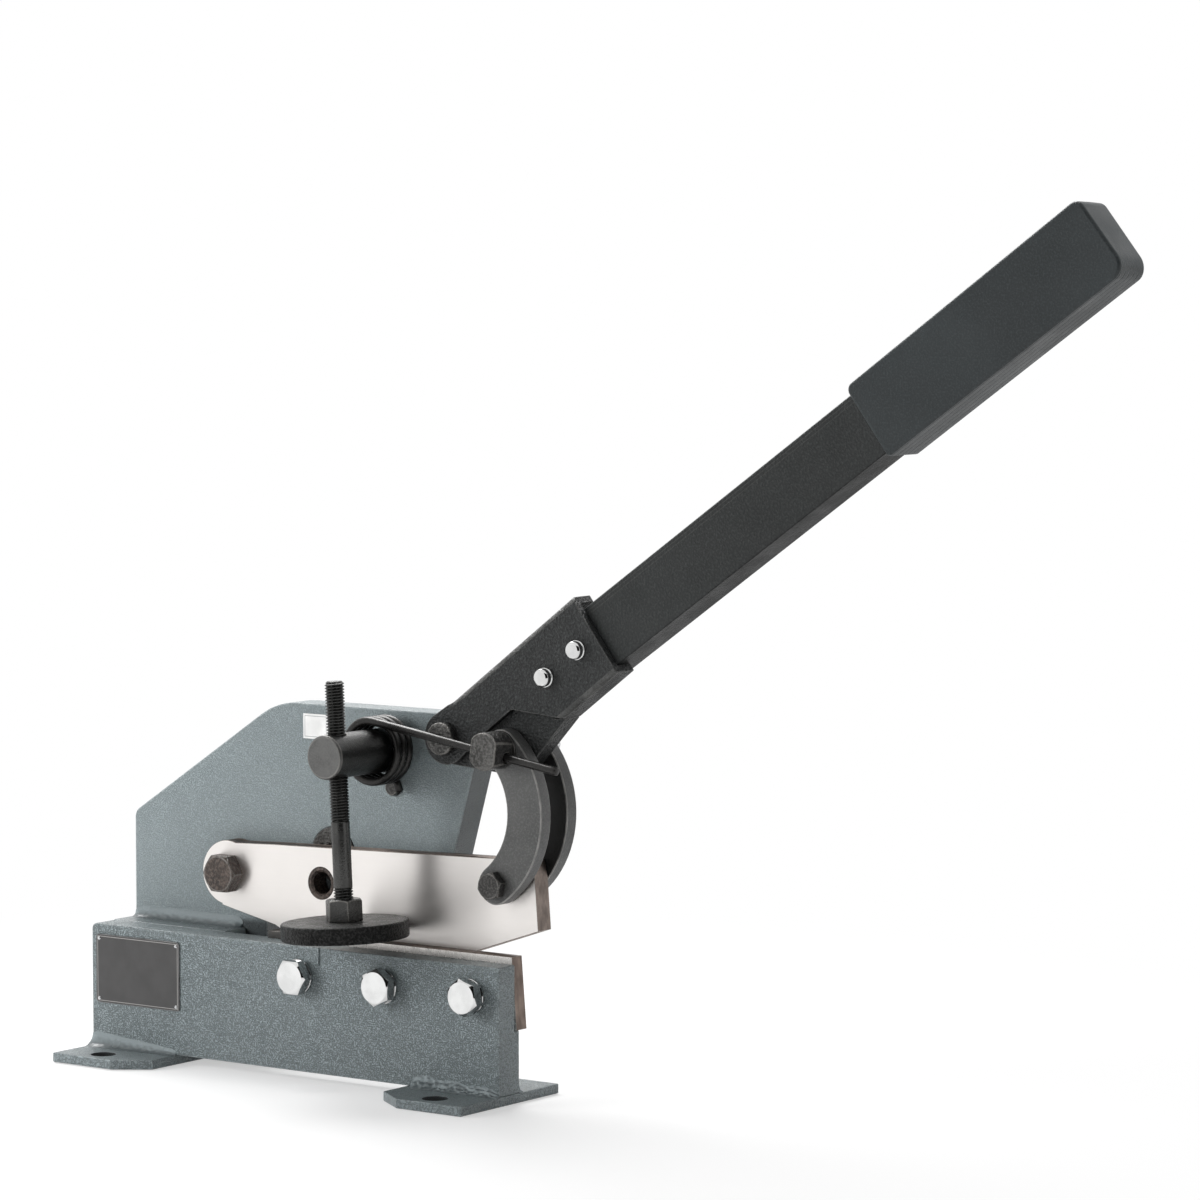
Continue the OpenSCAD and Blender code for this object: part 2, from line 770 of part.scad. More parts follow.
module lever_bolt_nuts() {
    y = upper_blade_y + fit_gap + bar_w;
    placed() color(zinc) on_lever() for (x = lever_bolt_along) difference() {
        to_rear([x, -lever_bolt_drop], y) hexagon(lever_bolt_af, lever_bolt_head_t);
        rod([x, -lever_bolt_drop], y - over, lever_bolt_head_t + 2 * over,
            lever_bolt_d + 2 * fit_gap);
    }
}

module lever_bar() {
    l = bar_start + bar_show_l + grip_l - bar_end_gap;
    middle = upper_blade_y + fit_gap + bar_w / 2;
    placed() color(black) difference() {
        on_bar() translate([-bar_start, middle, 0]) rotate([90, 0, 90]) linear_extrude(l)
            difference() {
                polygon(round_box(bar_w, bar_h, bar_r));
                square([bar_w - 2 * bar_wall, bar_h - 2 * bar_wall], center = true);
            }
        on_lever() for (x = lever_bolt_along)
            rod([x, -lever_bolt_drop], upper_blade_y - over, bar_w + 2 * over,
                lever_bolt_d + 2 * fit_gap);
    }
}

// Grip pushed over the end of the bar, closed at its far end, where it is a
// little higher, with both ends slanted
module grip() {
    front = upper_blade_y + fit_gap;
    middle = front + bar_w / 2;
    placed() color(black) on_bar() translate([bar_show_l, 0, 0]) difference() {
        slab(front - grip_wall, grip_w) polygon(rounded([
            [0, -grip_h / 2], [grip_l + grip_slant, -grip_h / 2],
            [grip_l - grip_slant, grip_h / 2 + grip_flare], [-grip_slant, grip_h / 2]
        ], grip_corner_r));
        translate([-grip_slant - over, middle, 0]) rotate([90, 0, 90])
            linear_extrude(grip_l - bar_end_gap + grip_slant + over + fit_gap)
            polygon(round_box(bar_w + 2 * fit_gap, bar_h + 2 * fit_gap, bar_r));
    }
}

// A crescent from the anchor bolt to the link bolt, with round ends that meet its two arcs
module crescent() {
    way = link_pin - anchor;
    half = norm(way) / 2;
    outer_r = (half * half + link_bow * link_bow - link_end_r * link_end_r)
        / (2 * (link_bow - link_end_r));
    inner_r = (half * half + link_hollow * link_hollow - link_end_r * link_end_r)
        / (2 * (link_hollow + link_end_r));
    outer_c = [0, link_bow - outer_r];
    inner_c = [0, link_hollow - inner_r];
    outer_a = atan2(-outer_c[1], half);
    inner_a = atan2(-inner_c[1], half);
    translate((anchor + link_pin) / 2) rotate(atan2(way[1], way[0])) polygon(concat(
        arc(outer_c, outer_r, outer_a, 180 - outer_a),
        arc([-half, 0], link_end_r, 180 - outer_a, 360 - inner_a, 1),
        arc(inner_c, inner_r, 180 - inner_a, inner_a),
        arc([half, 0], link_end_r, 180 + inner_a, 360 + outer_a, 1)
    ));
}

module link(y) {
    placed() color(black) difference() {
        slab(y, link_t) crescent();
        rod(anchor, y - over, link_t + 2 * over, anchor_d + 2 * fit_gap);
        rod(link_pin, y - over, link_t + 2 * over, link_pin_d + 2 * fit_gap);
    }
}

module front_link() {
    link(front_link_y);
}

module rear_link() {
    link(rear_link_y);
}

module link_bolt() {
    end_y = rear_link_y + link_t + link_nut_t + nut_proud;
    placed() color(black) {
        to_front(link_pin, front_link_y) hexagon(link_af, link_head_t, link_head_turn);
        rod(link_pin, front_link_y, end_y - front_link_y, link_pin_d);
    }
}

module link_nut() {
    placed() color(zinc) difference() {
        to_rear(link_pin, rear_link_y + link_t) hexagon(link_af, link_nut_t);
        rod(link_pin, rear_link_y + link_t - over, link_nut_t + 2 * over,
            link_pin_d + 2 * fit_gap);
    }
}

// The link bolt rides in a short slot, because the links' swing is a steady share of the lever's
module upper_blade() {
    placed() color(steel) difference() {
        slab(upper_blade_y, upper_blade_t) difference() {
            union() {
                translate(blade_pivot) circle(r = blade_end_r);
                translate(blade_pivot)
                    polygon([for (s = blade_shares) [s[0] * blade_arm, s[1] * blade_end_r]]);
            }
            translate(link_pin + slot_offset) rotate(slot_turn) {
                for (x = [-slot_l / 2, slot_l / 2])
                    translate([x, 0]) circle(r = slot_r);
                square([slot_l, 2 * slot_r], center = true);
            }
        }
        rod(blade_pivot, upper_blade_y - over, upper_blade_t + 2 * over, pivot_d + 2 * fit_gap);
        rod(blade_bush_place, upper_blade_y - over, upper_blade_t + 2 * over,
            blade_bush_d + 2 * fit_gap);
    }
}

module blade_bush() {
    placed() color(bronze) difference() {
        rod(blade_bush_place, upper_blade_y, upper_blade_t, blade_bush_d);
        rod(blade_bush_place, upper_blade_y - over, upper_blade_t + 2 * over, bar_d);
    }
}

module clamp_foot() {
    placed() color(black) on_screw() translate([0, 0, screw_seat - disc_t]) difference() {
        rotate_extrude() polygon([
            [0, 0], [disc_d / 2 - disc_edge, 0], [disc_d / 2, disc_edge],
            [disc_d / 2, disc_t - disc_edge], [disc_d / 2 - disc_edge, disc_t], [0, disc_t]
        ]);
        translate([0, 0, disc_t - screw_tip_l - fit_gap])
            cylinder(d = screw_tip_d + 2 * fit_gap, h = screw_tip_l + over);
    }
}

module clamp_screw() {
    placed() color(black) on_screw() {
        translate([0, 0, screw_top - screw_upper_l]) cylinder(d = screw_d, h = screw_upper_l);
        translate([0, 0, screw_top - screw_upper_l - screw_plain_l])
            cylinder(d = screw_plain_d, h = screw_plain_l);
        translate([0, 0, screw_seat + fit_gap])
            cylinder(d = screw_d, h = screw_lower_l + screw_nut_t - fit_gap);
        translate([0, 0, screw_seat - screw_tip_l])
            cylinder(d = screw_tip_d, h = screw_tip_l + fit_gap);
    }
}

module clamp_nut() {
    placed() color(black) on_screw() translate([0, 0, screw_seat + fit_gap]) difference() {
        hexagon(screw_af, screw_nut_t - fit_gap, screw_nut_turn);
        translate([0, 0, -over]) cylinder(d = screw_d + 2 * fit_gap, h = screw_nut_t + 2 * over);
    }
}

front_plate();
rear_plate();
shelf_spacer();
left_foot();
right_foot();
weld_beads();
lower_blade();
blade_bolts();
blade_bolt_washers();
rating_plate();
plate_rivets();
blank_label();
plate_bush();
clamp_boss();
stop_pin();
torsion_spring();
lever_pivot_bolt();
blade_pivot_bolt();
rear_nuts();
rear_washers();
pivot_washers();
lever_bracket();
lever_plate();
anchor_bolt();
anchor_washer();
anchor_nut();
lever_bolts();
lever_bolt_nuts();
lever_bar();
grip();
front_link();
rear_link();
link_bolt();
link_nut();
upper_blade();
blade_bush();
clamp_foot();
clamp_screw();
clamp_nut();
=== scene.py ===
import json
from math import acos, atan2, cos, degrees, pi, radians, sin, sqrt, tan
import bpy, bmesh
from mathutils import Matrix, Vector, noise

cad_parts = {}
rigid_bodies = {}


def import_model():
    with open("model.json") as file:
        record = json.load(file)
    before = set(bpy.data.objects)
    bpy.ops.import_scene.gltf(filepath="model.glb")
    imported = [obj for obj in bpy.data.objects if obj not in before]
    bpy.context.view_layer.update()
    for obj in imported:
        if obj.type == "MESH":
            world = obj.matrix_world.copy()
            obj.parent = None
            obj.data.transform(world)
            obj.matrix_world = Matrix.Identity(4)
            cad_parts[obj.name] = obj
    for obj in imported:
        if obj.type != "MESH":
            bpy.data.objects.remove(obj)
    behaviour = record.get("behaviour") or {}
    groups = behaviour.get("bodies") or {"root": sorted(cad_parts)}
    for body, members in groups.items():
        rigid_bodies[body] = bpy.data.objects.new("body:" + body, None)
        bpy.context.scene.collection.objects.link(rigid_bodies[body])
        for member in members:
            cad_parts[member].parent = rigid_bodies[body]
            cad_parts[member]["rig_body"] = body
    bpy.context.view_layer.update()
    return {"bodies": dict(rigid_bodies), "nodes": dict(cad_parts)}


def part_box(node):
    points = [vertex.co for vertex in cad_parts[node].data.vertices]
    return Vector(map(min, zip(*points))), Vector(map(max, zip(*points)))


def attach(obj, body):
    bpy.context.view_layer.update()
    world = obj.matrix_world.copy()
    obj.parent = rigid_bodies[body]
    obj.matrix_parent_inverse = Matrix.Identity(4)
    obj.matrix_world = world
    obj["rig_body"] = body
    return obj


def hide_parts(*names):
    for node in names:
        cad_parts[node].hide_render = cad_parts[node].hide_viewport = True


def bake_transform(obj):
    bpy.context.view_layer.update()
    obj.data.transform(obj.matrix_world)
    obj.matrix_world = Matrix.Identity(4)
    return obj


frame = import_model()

nodes = frame["nodes"]
kept = set(nodes.values()) | set(frame["bodies"].values())
for o in list(bpy.data.objects):
    if o not in kept:
        bpy.data.objects.remove(o)

# ---------------------------------------------------------------- places shared by several pieces
# Millimetres from the lower front corner of the base, at its pivot end. Pairs are x and z.
BASE_MIDDLE, FRONT_SHIFT = 135, 19.5        # from that corner to the origin of the shared frame
FOOT_TOP, FRONT_TOP = 5, 70
LEVER_PIVOT = (223, 180.2)
LEVER_TURN, BAR_TURN = radians(36.9), radians(34.8)
ROUND_BAR = (178.2, 171.1)                  # carries the spring and the hold-down
ANCHOR = (262.0, 177.404)                   # holds the spring's front leg
BLADE_BUSH = (138.6, 99.6)
BLADE_BOLTS_Z = 54.4
BLADE_BOLTS = ((142, 0), (197.2, 25), (252.4, 42))     # x and the turn of the head in degrees
M10_R, M10_PITCH = 5.0, 1.5
FORWARD, BACK = (0, -1, 0), (0, 1, 0)
BLACK = (0, 0, 0)


def at(x, y, z):
    """A place in millimetres from the lower front corner of the base, at its pivot end."""
    return Vector(((x - BASE_MIDDLE) / 1000, (y + FRONT_SHIFT) / 1000, z / 1000))


def on_lever(along, drop):
    """x and z of a place along the lever from its pivot and square below it."""
    return (LEVER_PIVOT[0] + along * cos(LEVER_TURN) + drop * sin(LEVER_TURN),
            LEVER_PIVOT[1] + along * sin(LEVER_TURN) - drop * cos(LEVER_TURN))


# ---------------------------------------------------------------- camera and light
CAMERA_DIP, CAMERA_ROUND = 4.27, 35.87      # degrees below level, and round from the front
WORLD_LIGHT = 0.2                           # strength for the rays that light the object

camera = bpy.data.objects.new("camera", bpy.data.cameras.new("camera"))
bpy.context.collection.objects.link(camera)
camera.data.lens = 141.26
camera.data.sensor_width = 36
camera.data.clip_start = 0.05
camera.location = (1.53167, -1.82646, 0.42584)
camera.rotation_euler = (radians(90 - CAMERA_DIP), 0, radians(CAMERA_ROUND))
bpy.context.scene.camera = camera
bpy.context.scene.view_settings.view_transform = "Standard"


def area(name, place, target, size, power, mirrored=True):
    """A rectangular lamp turned toward a target, seen in reflections if mirrored."""
    lamp = bpy.data.lights.new(name, "AREA")
    lamp.shape = "RECTANGLE"
    lamp.size, lamp.size_y = size
    lamp.energy = power
    o = bpy.data.objects.new(name, lamp)
    bpy.context.collection.objects.link(o)
    o.location = place
    o.rotation_euler = (Vector(target) - Vector(place)).to_track_quat("-Z", "Y").to_euler()
    o.visible_glossy = mirrored


area("key", place=(-0.85, -0.85, 0.45), target=(-0.05, 0, 0.12), size=(0.7, 0.6), power=14.2,
     mirrored=False)
area("top", place=(-0.75, 0.7, 1.6), target=(0.0, 0.05, 0.1), size=(1.3, 1.0), power=45)
area("low", place=(1.2, -0.75, 0.12), target=(0.13, 0, 0.06), size=(0.5, 0.3), power=1.9,
     mirrored=False)


def picture_rays(tree):
    """1 for the rays that see a picture of what they meet: camera, mirror and glass rays."""
    path = tree.nodes.new("ShaderNodeLightPath")
    most = path.outputs["Is Camera Ray"]
    for kind in ("Is Glossy Ray", "Is Transmission Ray"):
        larger = tree.nodes.new("ShaderNodeMath")
        larger.operation = "MAXIMUM"
        tree.links.new(most, larger.inputs[0])
        tree.links.new(path.outputs[kind], larger.inputs[1])
        most = larger.outputs[0]
    return most


world = bpy.context.scene.world or bpy.data.worlds.new("world")
bpy.context.scene.world = world
world.use_nodes = True
sky = world.node_tree
sky.nodes.clear()
strength = sky.nodes.new("ShaderNodeMapRange")
strength.inputs["To Min"].default_value = WORLD_LIGHT
strength.inputs["To Max"].default_value = 1.0
sky.links.new(picture_rays(sky), strength.inputs["Value"])
back = sky.nodes.new("ShaderNodeBackground")
back.inputs["Color"].default_value = (1, 1, 1, 1)
sky.links.new(strength.outputs[0], back.inputs["Strength"])
sky.links.new(back.outputs[0], sky.nodes.new("ShaderNodeOutputWorld").inputs[0])


# ---------------------------------------------------------------- materials
def times(c, k):
    return tuple(min(1.0, v * k) for v in c)


class Graph:
    """A small builder for a procedural material in the object's own coordinates.

    Scales count per metre, and distances and depths are in metres."""

    def __init__(self, name):
        self.mat = bpy.data.materials.new(name)
        self.mat.use_nodes = True
        self.tree = self.mat.node_tree
        self.tree.nodes.clear()
        self.shader = self.node("ShaderNodeBsdfPrincipled")
        self.output = self.node("ShaderNodeOutputMaterial")
        self.link(self.shader.outputs[0], self.output.inputs[0])
        self.place = self.node("ShaderNodeTexCoord").outputs["Object"]

    def node(self, kind, **values):
        n = self.tree.nodes.new(kind)
        for k, v in values.items():
            setattr(n, k, v)
        return n

    def link(self, a, b):
        self.tree.links.new(a, b)

    def feed(self, socket, value):
        if hasattr(value, "links"):
            self.link(value, socket)
        else:
            socket.default_value = value

    def noise(self, scale, detail=3.0, rough=0.55, stretch=None, distort=0.0):
        n = self.node("ShaderNodeTexNoise")
        n.inputs["Scale"].default_value = scale
        n.inputs["Detail"].default_value = detail
        n.inputs["Roughness"].default_value = rough
        n.inputs["Distortion"].default_value = distort
        self.link(self.moved(stretch) if stretch else self.place, n.inputs["Vector"])
        return n.outputs["Fac"]

    def moved(self, stretch=None, turn=None, shift=None):
        """The object's coordinates, stretched, turned or shifted."""
        m = self.node("ShaderNodeMapping")
        self.link(self.place, m.inputs["Vector"])
        for socket, value in (("Scale", stretch), ("Rotation", turn), ("Location", shift)):
            if value:
                m.inputs[socket].default_value = value
        return m.outputs[0]

    def split(self, vector):
        s = self.node("ShaderNodeSeparateXYZ")
        self.link(vector, s.inputs[0])
        return s.outputs

    def along(self, axis):
        """A coordinate of the piece at rest, in metres."""
        return self.split(self.place)[axis]

    def normal(self):
        return self.node("ShaderNodeTexCoord").outputs["Normal"]

    def facing(self, axis):
        """How far the surface faces along an axis of the object, -1 to 1."""
        return self.split(self.normal())[axis]

    def math(self, kind, a, b=0.0):
        n = self.node("ShaderNodeMath", operation=kind)
        self.feed(n.inputs[0], a)
        self.feed(n.inputs[1], b)
        return n.outputs[0]

    def ramp(self, value, low, high, to_low=0.0, to_high=1.0):
        """A smooth step of the value between low and high."""
        n = self.node("ShaderNodeMapRange", interpolation_type="SMOOTHSTEP")
        self.feed(n.inputs["Value"], value)
        n.inputs["From Min"].default_value = low
        n.inputs["From Max"].default_value = high
        n.inputs["To Min"].default_value = to_low
        n.inputs["To Max"].default_value = to_high
        return n.outputs[0]

    def uneven(self, scale, low, high, detail=3):
        """A value that drifts softly between low and high."""
        return self.ramp(self.noise(scale, detail), 0.3, 0.7, low, high)

    def mix(self, share, a, b):
        n = self.node("ShaderNodeMix", data_type="RGBA")
        self.feed(n.inputs["Factor"], share)
        self.feed(n.inputs[6], (*a, 1) if isinstance(a, tuple) else a)
        self.feed(n.inputs[7], (*b, 1) if isinstance(b, tuple) else b)
        return n.outputs[2]

    def mottled(self, c, scale, low, high):
        """The colour c in soft spots, between two multiples of itself."""
        return self.mix(self.uneven(scale, 0.0, 1.0, 4), times(c, low), times(c, high))

    def worn(self, tone, share, colour):
        """The tone with the edges that rounded() marked rubbed toward a colour, in patches."""
        mark = self.node("ShaderNodeAttribute", attribute_name="worn").outputs["Fac"]
        patches = self.math("MULTIPLY", mark, self.uneven(120, 0.35, 1.0))
        return self.mix(self.math("MULTIPLY", patches, share), tone, colour)

    def bump(self, height, depth, share=1.0, onto=None):
        n = self.node("ShaderNodeBump")
        n.inputs["Strength"].default_value = share
        n.inputs["Distance"].default_value = depth
        self.link(height, n.inputs["Height"])
        if onto:
            self.link(onto, n.inputs["Normal"])
        return n.outputs[0]

    def done(self, colour, rough, metal=0.0, normal=None, **sockets):
        p = self.shader
        self.feed(p.inputs["Base Color"], (*colour, 1) if isinstance(colour, tuple) else colour)
        self.feed(p.inputs["Roughness"], rough)
        p.inputs["Metallic"].default_value = metal
        if normal:
            self.link(normal, p.inputs["Normal"])
        for k, v in sockets.items():
            self.feed(p.inputs[k.replace("_", " ")], v)
        return self.mat


BASE_HOLES, BASE_HOLE_R = ((-0.11, 0), (0.11, 0)), 0.0065        # metres, in the shared frame
RUBBED_GREY, RUBBED_BLACK, BARE_STEEL = (0.45, 0.49, 0.5), (0.13, 0.13, 0.125), (0.55, 0.53, 0.5)


def grey_paint(name, depth, share, lift, rough=(0.29, 0.4), ends=1.0, top=1.0, holes=(), shaded_below=None):
    """Semi-gloss paint with the leathery grain of a thick sprayed coat, a net of shallow valleys.

    Depth is the grain's bump in metres and share its contrast, lift a multiple of the tone.
    Ends and top are the shares of the tone left on ends at the right and on surfaces that
    face up, a painted shade. Inside the holes is painted dark as shade, and below the height
    grime the front surface is painted dark as shade between the plates."""
    g = Graph(name)
    c = times((0.215, 0.252, 0.262), lift)
    tone = g.worn(g.mottled(c, 9, 0.93, 1.07), 0.3, RUBBED_GREY)
    swell = g.noise(820, 1.0, 0.45, distort=0.3)
    hill = g.ramp(g.math("ABSOLUTE", g.math("SUBTRACT", swell, 0.5)), 0.0, 0.11)
    tone = g.mix(g.ramp(hill, 0.1, 0.75, share, 0.0), tone, times(c, 0.45))
    tone = g.mix(g.ramp(hill, 0.6, 1.0, 0.0, share * 0.7), tone, times(c, 1.5))
    # Painted shade on ends that face right and on surfaces that face up.
    tone = g.mix(g.ramp(g.facing(0), 0.9, 0.98, 0.0, 1.0 - ends), tone, BLACK)
    tone = g.mix(g.ramp(g.facing(2), 0.4, 0.95, 0.0, 1.0 - top), tone, BLACK)
    # Painted shade inside the holes.
    for x, y in holes:
        dx, dy = g.math("SUBTRACT", g.along(0), x), g.math("SUBTRACT", g.along(1), y)
        far = g.math("SQRT", g.math("ADD", g.math("MULTIPLY", dx, dx), g.math("MULTIPLY", dy, dy)))
        tone = g.mix(g.ramp(far, BASE_HOLE_R + 0.0001, BASE_HOLE_R + 0.0002, 0.9, 0.0), tone, BLACK)
    # Painted shade on the front below a height, between the plates.
    if shaded_below:
        low = g.ramp(g.along(2), shaded_below - 0.002, shaded_below + 0.002, 0.75, 0.0)
        front = g.ramp(g.facing(1), -0.9, -0.5, 1.0, 0.0)
        tone = g.mix(g.math("MULTIPLY", low, front), tone, BLACK)
    return g.done(tone, g.uneven(60, *rough), 0.0, g.bump(hill, depth), Specular_IOR_Level=0.5)


def black_coat(name, c, grain, depth, shine, speck, edge=RUBBED_BLACK, front=1.0, under=1.0):
    """Thin black powder coat. Speck is the contrast of its grain, front and under are the
    shares of the tone left on surfaces that face forward and down, a painted shade there."""
    g = Graph(name)
    fine = g.noise(grain, 2)
    tone = g.mix(g.ramp(fine, 0.45, 0.7, 0.0, speck), g.mottled(c, 14, 0.8, 1.3), times(c, 3.0))
    # Painted shade on surfaces facing forward and down; down-facing ones also reflect less.
    tone = g.mix(g.ramp(g.facing(1), -0.9, -0.5, 1.0 - front, 0.0), tone, BLACK)
    tone = g.mix(g.ramp(g.facing(2), -0.75, -0.45, 1.0 - under, 0.0), tone, BLACK)
    tone = g.worn(tone, 0.6, edge)
    gloss = g.ramp(g.facing(2), -0.75, -0.45, shine * under, shine)
    return g.done(tone, g.uneven(80, 0.42, 0.55), 0.0, g.bump(fine, depth, 0.9), Specular_IOR_Level=gloss)


def oxide(name, c, depth, grain, rough, metal, spread=1.6, cloud=0.25, edge=0.5, shaded_sides=1.0, axis=1,
          shine=0.5):
    """Blackened steel: a dark mirror where it is smooth, grainy where it was forged.

    Spread is how much lighter the grain's peaks are, cloud the depth of the soft patches and
    edge the share of wear. On the surfaces that don't face along the axis a painted shade leaves
    the share skin of the tone."""
    g = Graph(name)
    patches = g.ramp(g.noise(90, 5, 0.65), 0.32, 0.7)
    tone = g.mix(patches, times(c, 1 - cloud), times(c, 1 + cloud * 1.5))
    fine = g.noise(grain, 3)
    tone = g.mix(g.ramp(fine, 0.42, 0.66, 0.0, 0.6), tone, times(c, 1.0 + spread))
    # Painted shade on the sides that don't face along the axis.
    turned = g.math("ABSOLUTE", g.facing(axis))
    tone = g.mix(g.ramp(turned, 0.5, 0.95, 1.0 - shaded_sides, 0.0), tone, BLACK)
    tone = g.worn(tone, edge, (0.26, 0.25, 0.235))
    return g.done(tone, g.uneven(160, *rough, 4), metal, g.bump(fine, depth, 0.7), Specular_IOR_Level=shine)


def ground(name, face, side, stretch, rough, shade_edge=None):
    """Ground steel on the faces across the base, scale and saw marks on the rest.

    Stretch draws out the grinding lines. Left of the place heel it has a painted shade from the blades'
    mouth."""
    g = Graph(name)
    lines = g.noise(1, 3, 0.6, stretch)
    bright = g.mix(g.ramp(lines, 0.3, 0.75, 0, 0.12), g.mottled(face, 16, 0.965, 1.0), times(face, 0.93))
    marks = g.ramp(g.noise(1, 4, 0.6, (900, 220, 60)), 0.3, 0.7)
    dull = g.mix(marks, times(side, 0.7), times(side, 1.35))
    across = g.ramp(g.math("ABSOLUTE", g.facing(1)), 0.8, 0.95)
    tone = g.mix(across, dull, bright)
    if shade_edge:
        # Painted shade on the blade's left end.
        tone = g.mix(g.ramp(g.along(0), shade_edge - 0.004, shade_edge + 0.004, 0.85, 0.0), tone, BLACK)
    tone = g.worn(tone, 0.4, BARE_STEEL)
    r = g.math("ADD", g.ramp(across, 0, 1, 0.22, 0.0), g.ramp(lines, 0.3, 0.7, *rough))
    return g.done(tone, r, 1.0, g.bump(lines, 0.000008, 0.3), Anisotropic=0.85, Anisotropic_Rotation=0.25)


def plated(name, c, rough):
    """Bright plated steel, with a painted shade on the sides that don't face forward or back."""
    g = Graph(name)
    tone = g.mix(g.ramp(g.noise(120, 4), 0.35, 0.7), times(c, 0.9), c)
    # Painted shade on the sides.
    tone = g.mix(g.ramp(g.math("ABSOLUTE", g.facing(1)), 0.3, 0.99), times(c, 0.75), tone)
    tone = g.worn(tone, 0.35, (1, 1, 1))
    r = g.ramp(g.noise(300, 4), 0.3, 0.75, *rough)
    return g.done(tone, r, 1.0, g.bump(g.noise(500, 3), 0.00003, 0.4))


def bar_coat():
    """Black coat over a drawn tube, with two fine draw lines along its front and a painted shade on its
    underside.
    """
    g = Graph("bar_coat")
    c = (0.0135, 0.015, 0.0148)
    height = g.split(g.moved(turn=(0, BAR_TURN, 0)))[2]
    line, half_width = 0.0, 0.0003
    for place in (0.1028, 0.1046):
        near = g.math("ABSOLUTE", g.math("SUBTRACT", height, place))
        line = g.math("ADD", line, g.ramp(near, 0.0, half_width, 1, 0))
    fine = g.noise(820, 2)
    tone = g.mix(g.ramp(fine, 0.45, 0.7, 0.0, 0.7), g.mottled(c, 10, 0.8, 1.35), times(c, 2.6))
    # Painted shade on the underside, which also reflects less.
    tone = g.mix(g.ramp(g.facing(2), -0.75, -0.45, 0.6, 0.0), tone, BLACK)
    tone = g.mix(g.math("MULTIPLY", line, 0.35), tone, (0.09, 0.09, 0.085))
    tone = g.worn(tone, 0.4, (0.12, 0.12, 0.115))
    gloss = g.ramp(g.facing(2), -0.75, -0.45, 0.13, 0.36)
    relief = g.bump(line, 0.00012, 0.8, g.bump(fine, 0.0008, 0.7))
    return g.done(tone, g.uneven(60, 0.4, 0.52), 0.0, relief, Specular_IOR_Level=gloss)


def grip_skin():
    """Moulded plastic, ribbed along its top and underside, with a painted highlight on its end and painted
    shade in its grooves.
    """
    g = Graph("grip_skin")
    c = (0.0205, 0.0255, 0.0272)
    rib = 0.0022
    turned = g.node("ShaderNodeMapping", vector_type="NORMAL")
    turned.inputs["Rotation"].default_value = (0, BAR_TURN, 0)
    g.link(g.normal(), turned.inputs["Vector"])
    end, _, height = g.split(turned.outputs[0])
    under = g.ramp(g.math("ABSOLUTE", height), 0.75, 0.95)
    wave = g.math("DIVIDE", g.math("PINGPONG", g.along(1), rib), rib)
    groove = g.math("MULTIPLY", g.ramp(wave, 0.0, 0.28, 1, 0), under)
    fine = g.noise(1000, 2)
    tone = g.mix(g.ramp(fine, 0.45, 0.7, 0.0, 0.5), g.mottled(c, 12, 0.75, 1.25), times(c, 2.0))
    # A painted highlight on the end, and painted shade in the grooves.
    tone = g.mix(g.ramp(end, 0.75, 0.95), tone, times(c, 2.2))
    tone = g.mix(g.math("MULTIPLY", groove, 0.6), tone, times(c, 0.35))
    relief = g.bump(groove, -0.0004, 0.8, g.bump(fine, 0.0004, 0.6))
    return g.done(tone, g.uneven(50, 0.4, 0.5), 0.0, relief, Specular_IOR_Level=0.42)


def label(name, c, border, size, middle):
    """A plain label with a thin border. Size and middle are in metres along x and z."""
    g = Graph(name)
    place = g.split(g.moved(shift=(-middle[0], 0, -middle[1])))
    aside = g.math("SUBTRACT", size[0] / 2, g.math("ABSOLUTE", place[0]))
    above = g.math("SUBTRACT", size[1] / 2, g.math("ABSOLUTE", place[2]))
    edge = g.math("MINIMUM", aside, above)
    line = g.math("MULTIPLY", g.ramp(edge, 0.0009, 0.0010), g.ramp(edge, 0.0013, 0.0014, 1, 0))
    tone = g.mix(g.math("MULTIPLY", line, 0.8), g.mottled(c, 70, 0.88, 1.12), border)
    tone = g.worn(tone, 0.6, (0.5, 0.5, 0.5))
    relief = g.bump(g.noise(1200, 2), 0.00003, 0.4)
    return g.done(tone, g.uneven(90, 0.32, 0.42), 0.0, relief, Specular_IOR_Level=0.5)


# Painted shade inside the holes of the feet.
PAINT = grey_paint("grey_paint", depth=0.00045, share=0.6, lift=0.93, holes=BASE_HOLES)
# Painted shade on the rear plate's right end and on its front below the front plate's top.
SMOOTH_PAINT = grey_paint("grey_paint_smooth", depth=0.0002, share=0.28, lift=1.05, ends=0.25,
                          shaded_below=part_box("front_plate")[1][2] + 0.0045)
# Painted shade on the upward surfaces of the welds and the shelf.
WELD_PAINT = grey_paint("weld_paint", depth=0.00003, share=0.05, lift=0.95, rough=(0.2, 0.3), top=0.42)
SHELF_PAINT = grey_paint("shelf_paint", depth=0.00004, share=0.08, lift=0.92, rough=(0.25, 0.35), top=0.68)

LINK_TONE, LINK_EDGE = (0.06, 0.0605, 0.0595), (0.4, 0.39, 0.375)
# Painted shade on the undersides of the bracket and the lever plate.
COAT = black_coat("black_coat", (0.0118, 0.0128, 0.0128), grain=720, depth=0.0017, shine=0.5, speck=1.0,
                  under=0.4)
LINK = black_coat("link_coat", LINK_TONE, grain=1300, depth=0.0003, shine=0.6, speck=0.3, edge=LINK_EDGE)
# Painted shade on the rear link's front, between the links.
REAR_LINK = black_coat("rear_link_coat", LINK_TONE, grain=1300, depth=0.0003, shine=0.4, speck=0.3,
                       edge=LINK_EDGE, front=0.12)

OXIDE = oxide("oxide", (0.045, 0.0437, 0.042), depth=0.0004, grain=900, rough=(0.28, 0.42), metal=0.75)
